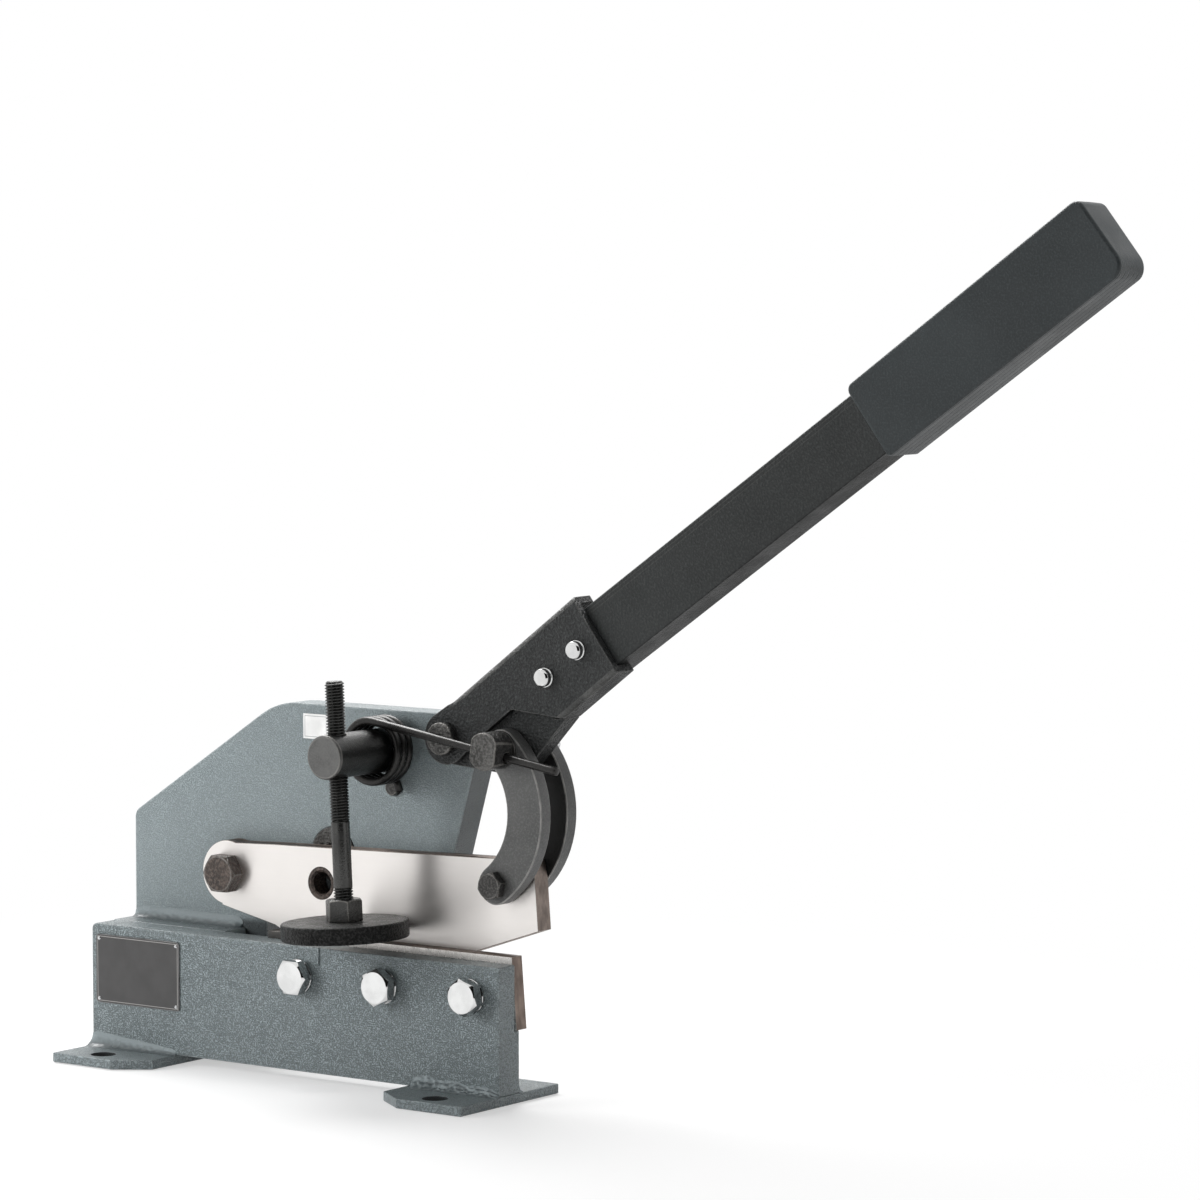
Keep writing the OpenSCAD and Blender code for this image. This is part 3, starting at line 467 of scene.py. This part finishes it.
# Painted shade on the sides of the turned boss.
TURNED = oxide("turned_oxide", (0.13, 0.13, 0.127), depth=0.0004, grain=1100, rough=(0.3, 0.42),
               metal=0.95, spread=0.3, cloud=0.15, shaded_sides=0.42)
ROD = oxide("rod_oxide", (0.07, 0.07, 0.068), depth=0.0002, grain=1100, rough=(0.24, 0.32),
            metal=0.95, spread=0.2, cloud=0.12, edge=0.8)
# Painted shade on the sides that don't face forward or back.
CAST = oxide("cast_oxide", (0.088, 0.0865, 0.083), depth=0.0026, grain=700, rough=(0.32, 0.46),
             metal=0.85, spread=1.8, cloud=0.35, edge=0.7, shaded_sides=0.35)
# Painted shade on the disc's rim.
DISC = oxide("disc_oxide", (0.029, 0.029, 0.0283), depth=0.0032, grain=850, rough=(0.27, 0.38),
             metal=0.9, spread=3.5, cloud=0.12, edge=0.7, shaded_sides=0.4, axis=2)
WIRE = oxide("wire_oxide", (0.028, 0.0272, 0.0264), depth=0.00008, grain=1400, rough=(0.26, 0.36),
             metal=0.8, spread=0.8, cloud=0.15)
BROWN = oxide("brown_oxide", (0.045, 0.0345, 0.029), depth=0.0026, grain=560, rough=(0.32, 0.48),
              metal=0.4, spread=2.4, cloud=0.35, edge=0.75, shine=0.7)

BLADE = ground("ground_blade", face=(0.915, 0.88, 0.85), side=(0.235, 0.195, 0.172),
               stretch=(60, 60, 1700), rough=(0.33, 0.38))
# Painted shade on the lower blade's left end, in the mouth between the blades.
LOWER = ground("lower_blade_steel", face=(0.8, 0.77, 0.74), side=(0.17, 0.132, 0.112),
               stretch=(300, 200, 60), rough=(0.2, 0.3), shade_edge=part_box("lower_blade")[0][0] + 0.012)
# Plated heads, nuts and washers get a painted shade on their sides.
CHROME = plated("bright_plate", (0.75, 0.755, 0.75), rough=(0.07, 0.16))
ZINC = plated("zinc_plate", (0.62, 0.63, 0.64), rough=(0.2, 0.34))
GRIP = grip_skin()
BAR = bar_coat()
DARK_LABEL = label("bare_dark_label", (0.042, 0.041, 0.041), border=(0.3, 0.29, 0.28),
                   size=(0.0577, 0.0364), middle=(at(32.45, 0, 0).x, 0.0465))
WHITE_LABEL = label("bare_white_label", (0.8, 0.8, 0.79), border=(0.3, 0.31, 0.32),
                    size=(0.0165, 0.013), middle=(at(125.77, 0, 0).x, 0.179))


# ---------------------------------------------------------------- meshes
def made(name, bm, mat, body, replaces=(), sharp=32, weigh=True):
    """A piece from a bmesh: smooth, with sharp edges where it turns hard, riding on a body."""
    bmesh.ops.recalc_face_normals(bm, faces=bm.faces)
    for f in bm.faces:
        f.smooth = True
    for e in bm.edges:
        e.smooth = len(e.link_faces) == 2 and e.calc_face_angle(0) < radians(sharp)
    mesh = bpy.data.meshes.new(name)
    bm.to_mesh(mesh)
    bm.free()
    mesh.materials.append(mat)
    o = bpy.data.objects.new(name, mesh)
    bpy.context.collection.objects.link(o)
    if weigh:
        w = o.modifiers.new("weigh", "WEIGHTED_NORMAL")
        w.keep_sharp = True
        w.weight = 60
    if body:
        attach(o, body)
    if replaces:
        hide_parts(*replaces)
    return o


def from_node(node):
    bm = bmesh.new()
    bm.from_mesh(nodes[node].data)
    bmesh.ops.remove_doubles(bm, verts=bm.verts, dist=2e-6)
    bmesh.ops.dissolve_limit(bm, angle_limit=radians(0.6), verts=bm.verts, edges=bm.edges)
    return bm


def rounded(bm, width, pick=None, least=28, segments=2):
    """Rounds the edges sharper than least degrees, or the picked ones of them, and marks the
    new faces as worn."""
    edges = [e for e in bm.edges if len(e.link_faces) == 2 and e.calc_face_angle(0) > radians(least)
             and (pick is None or pick(e))]
    worn = bm.faces.layers.float.get("worn") or bm.faces.layers.float.new("worn")
    if edges:
        new = bmesh.ops.bevel(bm, geom=edges, offset=width, segments=segments, profile=0.5,
                              affect="EDGES", clamp_overlap=False)
        for f in new["faces"]:
            f[worn] = 1.0


def dress(node, width, mat, segments=2, first=None, least=28, sharp=40):
    """A copy of a CAD node with rounded edges in its place."""
    bm = from_node(node)
    if first:
        first(bm)
    rounded(bm, width, least=least, segments=segments)
    made(node + "_dressed", bm, mat, nodes[node]["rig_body"], (node,), sharp)


def ring_mesh(bm, rings, closed=False):
    """Joins rings of equally many points to a skin, with flat ends unless closed."""
    rows = [[bm.verts.new(p) for p in ring] for ring in rings]
    n = len(rows[0])
    pairs = list(zip(rows, rows[1:])) + ([(rows[-1], rows[0])] if closed else [])
    for a, b in pairs:
        for i in range(n):
            j = (i + 1) % n
            bm.faces.new((a[i], a[j], b[j], b[i]))
    if not closed:
        bm.faces.new(rows[0][::-1])
        bm.faces.new(rows[-1])


def frame_for(axis):
    """Two directions square to an axis, and the axis as a unit."""
    axis = Vector(axis).normalized()
    side = axis.cross(Vector((0, 0, 1)))
    if side.length < 1e-3:
        side = Vector((1, 0, 0))
    side.normalize()
    return side, axis.cross(side).normalized(), axis


def lathe(bm, profile, origin, axis, steps=96, closed=False):
    """A turned piece: profile is (radius, height) in millimetres along the axis."""
    side, up, axis = frame_for(axis)
    rings = [[origin + axis * (h / 1000) + (side * cos(a) + up * sin(a)) * (r / 1000)
              for a in [2 * pi * k / steps for k in range(steps)]] for r, h in profile]
    ring_mesh(bm, rings, closed)


def hex_head(bm, origin, af, t, turn, collar):
    """A hexagon head toward the front with a coned top, a shallow dish, and a collar under it.

    In millimetres: af across flats, t high, collar (diameter, height)."""
    per = 10
    angles = [radians(turn + 60 * (k / per)) for k in range(6 * per)]
    flat = 0.94 * af / 2                    # the cone starts at this radius

    def hexr(a):
        s = (degrees(a) - turn) % 60 - 30
        return af / 2 / cos(radians(s))

    def cone(a):
        return t - max(0.0, hexr(a) - flat) * tan(radians(30))

    def ring(radius, height):
        return [origin + Vector((radius(a) * cos(a), -height(a), radius(a) * sin(a))) / 1000
                for a in angles]

    wide, start = collar[0] / 2, collar[1]
    ring_mesh(bm, [ring(lambda a: wide, lambda a: 0),
                   ring(lambda a: wide, lambda a: start),
                   ring(hexr, lambda a: start),
                   ring(hexr, lambda a: cone(a) - 0.12),
                   ring(lambda a: hexr(a) - 0.12, lambda a: cone(a) + 0.02),
                   ring(lambda a: min(flat, hexr(a) - 0.2), lambda a: t),
                   ring(lambda a: flat - 0.35, lambda a: t),
                   ring(lambda a: flat * 0.55, lambda a: t - 0.1),
                   ring(lambda a: flat * 0.2, lambda a: t - 0.16)])


def tube(bm, points, radius, sides=16):
    """A round bar along points, with slightly rounded ends."""
    n = len(points)
    along = [(points[min(i + 1, n - 1)] - points[max(i - 1, 0)]).normalized() for i in range(n)]
    side = along[0].cross(Vector((0, 1, 0))).normalized()
    rings = []
    for i in range(n):
        side = (side - along[i] * side.dot(along[i])).normalized()
        up = side.cross(along[i])
        rings.append([points[i] + (side * cos(a) + up * sin(a)) * radius
                      for a in [2 * pi * k / sides for k in range(sides)]])

    def end(ring, middle, out):
        return [middle + (p - middle) * 0.8 + out * radius * 0.18 for p in ring]

    ring_mesh(bm, [end(rings[0], points[0], -along[0])] + rings + [end(rings[-1], points[-1], along[-1])])


def screw_thread(bm, origin, axis, z0, z1, r, pitch, depth, blunt=(0.0, 0.0), steps=48, per=10):
    """A helical thread between two heights, with a cone cut at either end."""
    side, up, axis = frame_for(axis)
    count = max(2, round((z1 - z0) / pitch * per))
    rings = []
    for i in range(count + 1):
        z = z0 + (z1 - z0) * i / count
        ring = []
        for k in range(steps):
            a = 2 * pi * k / steps
            turn = (z / pitch - k / steps) % 1.0
            tooth = min(1.0, max(0.0, 1.25 * (1 - abs(2 * turn - 1)) - 0.05))   # flat crest and root
            radius = r - depth * (1 - tooth)
            if blunt[0]:
                radius = min(radius, r - blunt[0] + (z - z0))
            if blunt[1]:
                radius = min(radius, r - blunt[1] + (z1 - z))
            ring.append(origin + axis * (z / 1000) + (side * cos(a) + up * sin(a)) * (radius / 1000))
        rings.append(ring)
    ring_mesh(bm, rings)


# ---------------------------------------------------------------- the frame
for node, width, mat in (
        ("front_plate", 0.0008, PAINT), ("rear_plate", 0.0009, SMOOTH_PAINT),
        ("shelf_spacer", 0.0008, SHELF_PAINT), ("left_foot", 0.0005, PAINT), ("right_foot", 0.0005, PAINT)):
    dress(node, width, mat, segments=3)


def fillet(bm, start, end, out, leg, swell, lumps, seed, thin=0.72, taper=0.0):
    """A weld bead in a corner: a skin between two legs, with ripples and lumps along it.

    Leg is its size in metres, swell how full it is, taper how much it shrinks toward its far
    end, and thin the share left at both ends."""
    out, up = Vector(out), Vector((0, 0, 1))
    length = (end - start).length
    n = max(24, int(length / 0.0007))       # a ring every 0.7 mm
    rings = []
    for i in range(n + 1):
        s = i / n
        here = start.lerp(end, s)
        near = min(s, 1 - s) * length / 0.004           # both ends run out over 4 mm
        r = leg * (thin + (1 - thin) * min(1.0, near) ** 0.6)
        r *= (1 - taper * s) * (1 + lumps * 0.22 * noise.noise(Vector((s * length * 160, seed, 0.3))))
        ring = [here]
        for k in range(13):
            a = pi / 2 * k / 12
            hollow = (out + up) * r - (out * cos(a) + up * sin(a)) * r
            full = (up * cos(a) + out * sin(a)) * r
            p = hollow.lerp(full, swell)
            bulk = sin(2 * a)
            ripple = noise.noise(Vector((s * length * 420, k * 0.35, seed)))
            lump = noise.noise(Vector((s * length * 1100, k * 0.8, seed + 4)))
            push = (0.00022 * ripple + 0.0009 * lumps * lump + 0.0006 * lumps * ripple) * bulk
            ring.append(here + p + (out + up).normalized() * push)
        rings.append(ring)
    ring_mesh(bm, rings)


bm = bmesh.new()
fillet(bm, at(0.2, 0, FOOT_TOP), at(58.3, 0, FOOT_TOP), FORWARD,
       leg=0.0078, swell=0.1, lumps=0.06, seed=1.0, thin=0.8, taper=0.62)
fillet(bm, at(215.5, 0, FOOT_TOP), at(269.9, 0, FOOT_TOP), FORWARD,
       leg=0.0068, swell=0.34, lumps=1.0, seed=2.0, thin=0.5, taper=0.55)
fillet(bm, at(211.7, 17, FOOT_TOP), at(269.8, 17, FOOT_TOP), BACK,
       leg=0.0055, swell=0.12, lumps=0.1, seed=3.0)
fillet(bm, at(0.9, 34, FRONT_TOP), at(75.6, 34, FRONT_TOP), FORWARD,
       leg=0.006, swell=0.0, lumps=0.05, seed=4.0, thin=0.5)
made("weld_seams", bm, WELD_PAINT, "frame", ("weld_beads",), sharp=60)

dress("lower_blade", 0.00015, LOWER, segments=1)
dress("plate_bush", 0.0006, CAST)
dress("clamp_boss", 0.0004, TURNED)
dress("stop_pin", 0.0008, OXIDE, segments=3)
dress("rating_plate", 0.0002, DARK_LABEL)
dress("blank_label", 0.00008, WHITE_LABEL, segments=1)
dress("plate_rivets", 0.00012, ZINC, segments=1)

WASHER = [(5.3, 0.15), (5.45, 0), (8.7, 0), (9, 0.3), (9, 1.75), (8.75, 2), (5.45, 2), (5.3, 1.85)]
bm = bmesh.new()
for x, turn in BLADE_BOLTS:
    hex_head(bm, at(x, -2.0, BLADE_BOLTS_Z), af=17, t=6.4, turn=turn, collar=(16.4, 0.5))
    lathe(bm, [(M10_R, 0), (M10_R, 10)], at(x, -1.9, BLADE_BOLTS_Z), BACK, 48)
    screw_thread(bm, at(x, -1.9, BLADE_BOLTS_Z), BACK, 9.9, 20, M10_R, M10_PITCH, 0.9, (0.0, 0.8), 36, 8)
made("blade_bolts_detailed", bm, CHROME, "frame", ("blade_bolts",), sharp=24)
bm = bmesh.new()
for x, _ in BLADE_BOLTS:
    lathe(bm, WASHER, at(x, 0, BLADE_BOLTS_Z), FORWARD, 96, closed=True)
made("washers_detailed", bm, CHROME, "frame", ("blade_bolt_washers",), sharp=40)

for node, width, mat, slot in (
        ("lever_pivot_bolt", 0.0009, CAST, "black_oxide"), ("blade_pivot_bolt", 0.0004, BROWN, "black_oxide"),
        ("rear_nuts", 0.00035, ZINC, "zinc"), ("rear_washers", 0.0003, ZINC, "zinc"),
        ("pivot_washers", 0.00015, BROWN, "dark_steel")):
    dress(node, width, mat)

# The spring: the same centre line as in the CAD model, drawn as round wire
COIL_R, WIRE_R, PITCH, TURNS = 15.75, 2.1, 4.65, 3
COIL_BACK = 28.8                            # y of the coil's rear end
COIL_END = 277                              # its place round the coil, in degrees
LEG_Y, LEG_DROP, LEG_PAST = 7.4, 2.2, 40.5  # where the front leg meets the anchor, and goes past
BEND_R, TAIL_L, TAIL_RISE = 3.2, 3.2, radians(24)
hole = (ANCHOR[0], ANCHOR[1] - LEG_DROP)
way = (hole[0] - ROUND_BAR[0], hole[1] - ROUND_BAR[1])
leg_turn = degrees(atan2(way[1], way[0])) + degrees(acos(COIL_R / sqrt(way[0] ** 2 + way[1] ** 2)))
coil_turn = COIL_END + 360 * TURNS - leg_turn
coil_front = COIL_BACK - PITCH * coil_turn / 360


def on_coil(share):
    a = radians(leg_turn + share * coil_turn)
    return Vector((ROUND_BAR[0] + COIL_R * cos(a), coil_front + PITCH * share * coil_turn / 360,
                   ROUND_BAR[1] + COIL_R * sin(a)))


through = Vector((hole[0], LEG_Y, hole[1]))
leg_dir = (through - on_coil(0)).normalized()
out = Vector((cos(radians(COIL_END)), 0, sin(radians(COIL_END))))
ahead = Vector((-sin(radians(COIL_END)), 0, cos(radians(COIL_END))))
tail_dir = out * cos(TAIL_RISE) + Vector((0, sin(TAIL_RISE), 0))
tip = through + leg_dir * LEG_PAST
steps = int(coil_turn / 9)
line = [tip.lerp(on_coil(0) + leg_dir * 1.5, i / 40) for i in range(41)]
line += [on_coil(i / steps) for i in range(steps + 1)]
line += [on_coil(1) + out * BEND_R * (1 - cos(radians(a))) + ahead * BEND_R * sin(radians(a))
         for a in range(15, 91, 15)]
line += [line[-1] + tail_dir * TAIL_L / 2, line[-1] + tail_dir * TAIL_L]
bm = bmesh.new()
tube(bm, [at(*p) for p in line], WIRE_R / 1000, 18)
spring = made("return_spring", bm, WIRE, None, ("torsion_spring",), sharp=50, weigh=False)
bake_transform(spring)


# ---------------------------------------------------------------- the lever
BRACKET_Y = 17.8                            # y of the bracket's front
FOLD_HEIGHTS = (12.4, -32.6)                # of its two folds, across the lever from the pivot


def lever_place(co):
    """Along and across the lever from its pivot, and forward to back, in millimetres."""
    x, z = co.x * 1000 + BASE_MIDDLE - LEVER_PIVOT[0], co.z * 1000 - LEVER_PIVOT[1]
    return (x * cos(LEVER_TURN) + z * sin(LEVER_TURN), -x * sin(LEVER_TURN) + z * cos(LEVER_TURN),
            co.y * 1000 - FRONT_SHIFT)


def folds(bm):
    """Rounds the bracket's two folds wider than its other edges."""
    def pick(e):
        a, b = (lever_place(v.co) for v in e.verts)
        front = abs(a[2] - BRACKET_Y) < 0.1 and abs(b[2] - BRACKET_Y) < 0.1
        return front and any(abs(a[1] - h) < 0.1 and abs(b[1] - h) < 0.1 for h in FOLD_HEIGHTS)
    rounded(bm, 0.0028, pick, segments=5)


dress("lever_bracket", 0.0005, COAT, first=folds, least=40, sharp=45)
dress("lever_plate", 0.0006, COAT)
dress("anchor_bolt", 0.0007, CAST, segments=3)
dress("anchor_washer", 0.0003, OXIDE)
dress("anchor_nut", 0.00035, ZINC)
dress("lever_bolt_nuts", 0.00025, ZINC)
dress("lever_bar", 0.0003, BAR, segments=1)

LEVER_BOLTS, LEVER_BOLTS_DROP = (70.7, 95.0), 10.5     # along the lever and below its pivot's line
ROUND_HEAD = [(5, 0), (5, 1.1), (4.85, 1.35), (4.6, 1.45), (4.6, 3.8), (4.35, 4.3), (3.7, 4.85),
              (3.4, 4.95), (3.1, 4.85), (2.2, 4.8), (0.05, 4.78)]
bm = bmesh.new()
for along in LEVER_BOLTS:
    x, z = on_lever(along, LEVER_BOLTS_DROP)
    lathe(bm, ROUND_HEAD, at(x, BRACKET_Y, z), FORWARD, 72)
    lathe(bm, [(3, 0), (3, 32.2), (2.5, 32.75)], at(x, BRACKET_Y, z), BACK, 48)
made("lever_bolts_detailed", bm, CHROME, "lever", ("lever_bolts",), sharp=28)

# The grip: the outline of its long side, carried back through its depth with soft edges
BRACKET_L, BAR_DROP, BAR_SHOWN = 107, 11.5, 191.8
GRIP_L, GRIP_H = 153.4, 40.5
GRIP_FRONT = 22.05 - 3.5                    # the bar's front less the grip's wall
GRIP_DEEP = 21.5 + 3.5 + 1.75               # the bar's depth and the two walls
GRIP_EDGE = 1.7                             # rounding of its front edges
GRIP_BACK_EDGE, GRIP_BACK_IN = 3, 2.0       # of its rear edges, in depth and inward
GRIP_CORNERS = (2.2, 8, 5, 4)               # radii of its outline
GRIP_TIP = 30                               # length of the far end that is drawn in toward the back
bar_start = on_lever(BRACKET_L, BAR_DROP)
grip_start = (bar_start[0] + BAR_SHOWN * cos(BAR_TURN), bar_start[1] + BAR_SHOWN * sin(BAR_TURN))


def corner(a, b, c, r, n=10):
    """The arc of radius r at corner b between a and c, as (point, outward direction)."""
    u, w = (a - b).normalized(), (c - b).normalized()
    half = acos(max(-1, min(1, u.dot(w)))) / 2
    middle = b + (u + w).normalized() * (r / sin(half))
    first, last = b + u * (r / tan(half)), b + w * (r / tan(half))
    a0 = atan2((first - middle).y, (first - middle).x)
    a1 = atan2((last - middle).y, (last - middle).x)
    while a1 - a0 > pi:
        a1 -= 2 * pi
    while a1 - a0 < -pi:
        a1 += 2 * pi
    return [(middle + Vector((cos(t), sin(t))) * r, Vector((cos(t), sin(t))))
            for t in [a0 + (a1 - a0) * i / n for i in range(n + 1)]]


def grip_ring(y, inset, back):
    """One ring of the grip: its outline drawn in by inset, its far end also by back."""
    q = [Vector(v) for v in ((0, -GRIP_H / 2), (GRIP_L + 1.5, -GRIP_H / 2),
                             (GRIP_L - 1.5, GRIP_H / 2 + 1.3), (-1.5, GRIP_H / 2))]
    arcs = [corner(q[i - 1], q[i], q[(i + 1) % 4], r) for i, r in enumerate(GRIP_CORNERS)]
    ring = []
    for i, arc in enumerate(arcs):
        (a, out), (b, _) = arc[-1], arcs[(i + 1) % 4][0]
        ring += arc + [(a.lerp(b, k / 12), out) for k in range(1, 12)]
    full = []
    for p, n in ring:
        p = p - n * inset
        share = max(0.0, (p.x - (GRIP_L - GRIP_TIP)) / GRIP_TIP)
        p = Vector((p.x - back * share ** 2, p.y))
        full.append(at(grip_start[0] + p.x * cos(BAR_TURN) - p.y * sin(BAR_TURN), y,
                       grip_start[1] + p.x * sin(BAR_TURN) + p.y * cos(BAR_TURN)))
    return full


rings = []
for a in [radians(d) for d in range(90, -1, -15)]:
    rings.append(grip_ring(GRIP_FRONT + GRIP_EDGE * (1 - sin(a)), GRIP_EDGE * (1 - cos(a)), 0))
rings.append(grip_ring(GRIP_FRONT + GRIP_DEEP * 0.5, 0, 0.6))
for a in [radians(d) for d in range(0, 91, 15)]:
    rings.append(grip_ring(GRIP_FRONT + GRIP_DEEP - GRIP_BACK_EDGE + GRIP_BACK_EDGE * sin(a),
                           GRIP_BACK_IN * (1 - cos(a)), 1.5 + 3.5 * (1 - cos(a))))
bm = bmesh.new()
ring_mesh(bm, rings)
made("grip_moulded", bm, GRIP, "lever", ("grip",), sharp=50)


# ---------------------------------------------------------------- links and upper blade
dress("front_link", 0.0007, LINK, least=40)
dress("rear_link", 0.0007, REAR_LINK, least=40)
dress("link_bolt", 0.00035, OXIDE)
dress("link_nut", 0.0003, ZINC)
dress("upper_blade", 0.0002, BLADE, segments=1, least=20)
BUSH = [(5.8, 0.0), (5.8, 9.9), (6.8, 11.05), (8.1, 11.05), (8.35, 10.8), (8.35, 0.2), (8.15, 0.0)]
bm = bmesh.new()
lathe(bm, BUSH, at(BLADE_BUSH[0], 33, BLADE_BUSH[1]), FORWARD, 96, closed=True)
made("blade_bush_detailed", bm, BROWN, "upper_blade", ("blade_bush",), sharp=30)


# ---------------------------------------------------------------- the hold-down
# Heights in millimetres along the rod from the middle of the round bar it screws through
LEAN = radians(2.9)
AXIS = Vector((-sin(LEAN), 0, cos(LEAN)))
MIDDLE = at(ROUND_BAR[0], -13, ROUND_BAR[1])
ROD_TOP, SHANK_TOP, SHANK_LOW, THREAD_LOW = 37.8, -33.3, -66.7, -83.3
THREAD_DEPTH = 0.92
SHANK = [(4.4, -66.9), (4.75, -66.6), (4.8, -66.3), (4.8, -33.7), (4.72, -33.3), (4.3, -33.0)]
FOOT = [(0.05, -92.4), (31.3, -92.4), (32.0, -92.2), (32.4, -91.7), (32.5, -91.2), (32.5, -84.6),
        (32.4, -84.1), (32.05, -83.6), (31.4, -83.4), (31.0, -83.4), (4.05, -83.4), (4.05, -89.45),
        (0.05, -89.45)]
bm = bmesh.new()
screw_thread(bm, MIDDLE, AXIS, SHANK_TOP, ROD_TOP, M10_R, M10_PITCH, THREAD_DEPTH, (1.0, 1.3))
lathe(bm, SHANK, MIDDLE, AXIS, 72)
screw_thread(bm, MIDDLE, AXIS, THREAD_LOW, SHANK_LOW, M10_R, M10_PITCH, THREAD_DEPTH, (1.0, 0.6))
lathe(bm, [(4, -89.4), (4, -83.2)], MIDDLE, AXIS, 48)
made("clamp_screw_threaded", bm, ROD, "clamp_screw", ("clamp_screw",), sharp=70, weigh=False)
dress("clamp_nut", 0.0004, ROD)
bm = bmesh.new()
lathe(bm, FOOT, MIDDLE, AXIS, 160)
made("clamp_foot_turned", bm, DISC, "clamp_foot", ("clamp_foot",), sharp=40)


# ---------------------------------------------------------------- the floor and the dark card
def sheet(name, mat, wide, deep, z=0.0):
    """A flat sheet of the stage, its middle to its sides in metres."""
    bm = bmesh.new()
    bmesh.ops.create_grid(bm, x_segments=1, y_segments=1, size=1)
    for v in bm.verts:
        v.co = Vector((v.co.x * wide, v.co.y * deep, z))
    return made(name, bm, mat, None, weigh=False)


# The floor keeps the object's shadow near it and fades to the white of the background farther out
FADE_FROM, FADE_TO, GLOW = 0.1, 0.65, 0.5   # metres from the middle, and the share of white there
g = Graph("pale_floor")
floor_mat = g.done(g.mix(g.noise(1.5, 3), (0.9, 0.9, 0.9), (0.93, 0.93, 0.93)), 0.9, Specular_IOR_Level=0.1)
away = g.node("ShaderNodeVectorMath", operation="LENGTH")
g.link(g.place, away.inputs[0])
share = g.math("MULTIPLY", g.ramp(away.outputs["Value"], FADE_FROM, FADE_TO, GLOW, 1.0), picture_rays(g.tree))
white = g.node("ShaderNodeEmission")
white.inputs["Strength"].default_value = 1.0
both = g.node("ShaderNodeMixShader")
g.link(share, both.inputs[0])
g.link(g.shader.outputs[0], both.inputs[1])
g.link(white.outputs[0], both.inputs[2])
g.link(both.outputs[0], g.output.inputs[0])
ground_plane = sheet("floor", floor_mat, 6, 6, -0.0003)

# A dark card behind the camera, seen only in reflections, as a studio uses
g = Graph("dark_card")
card_tone = g.mix(g.noise(2, 2), (0.012, 0.012, 0.012), (0.02, 0.02, 0.02))
card_mat = g.done(card_tone, 1.0, Specular_IOR_Level=0.0)
card = sheet("dark_card", card_mat, 2.0, 1.5)
card.location = Vector((1.85, -2.1, 0.95))
card.rotation_euler = (Vector((0, 0, 0.25)) - card.location).to_track_quat("Z", "Y").to_euler()
card.visible_camera = False
card.visible_diffuse = False
card.visible_transmission = False
card.visible_shadow = False
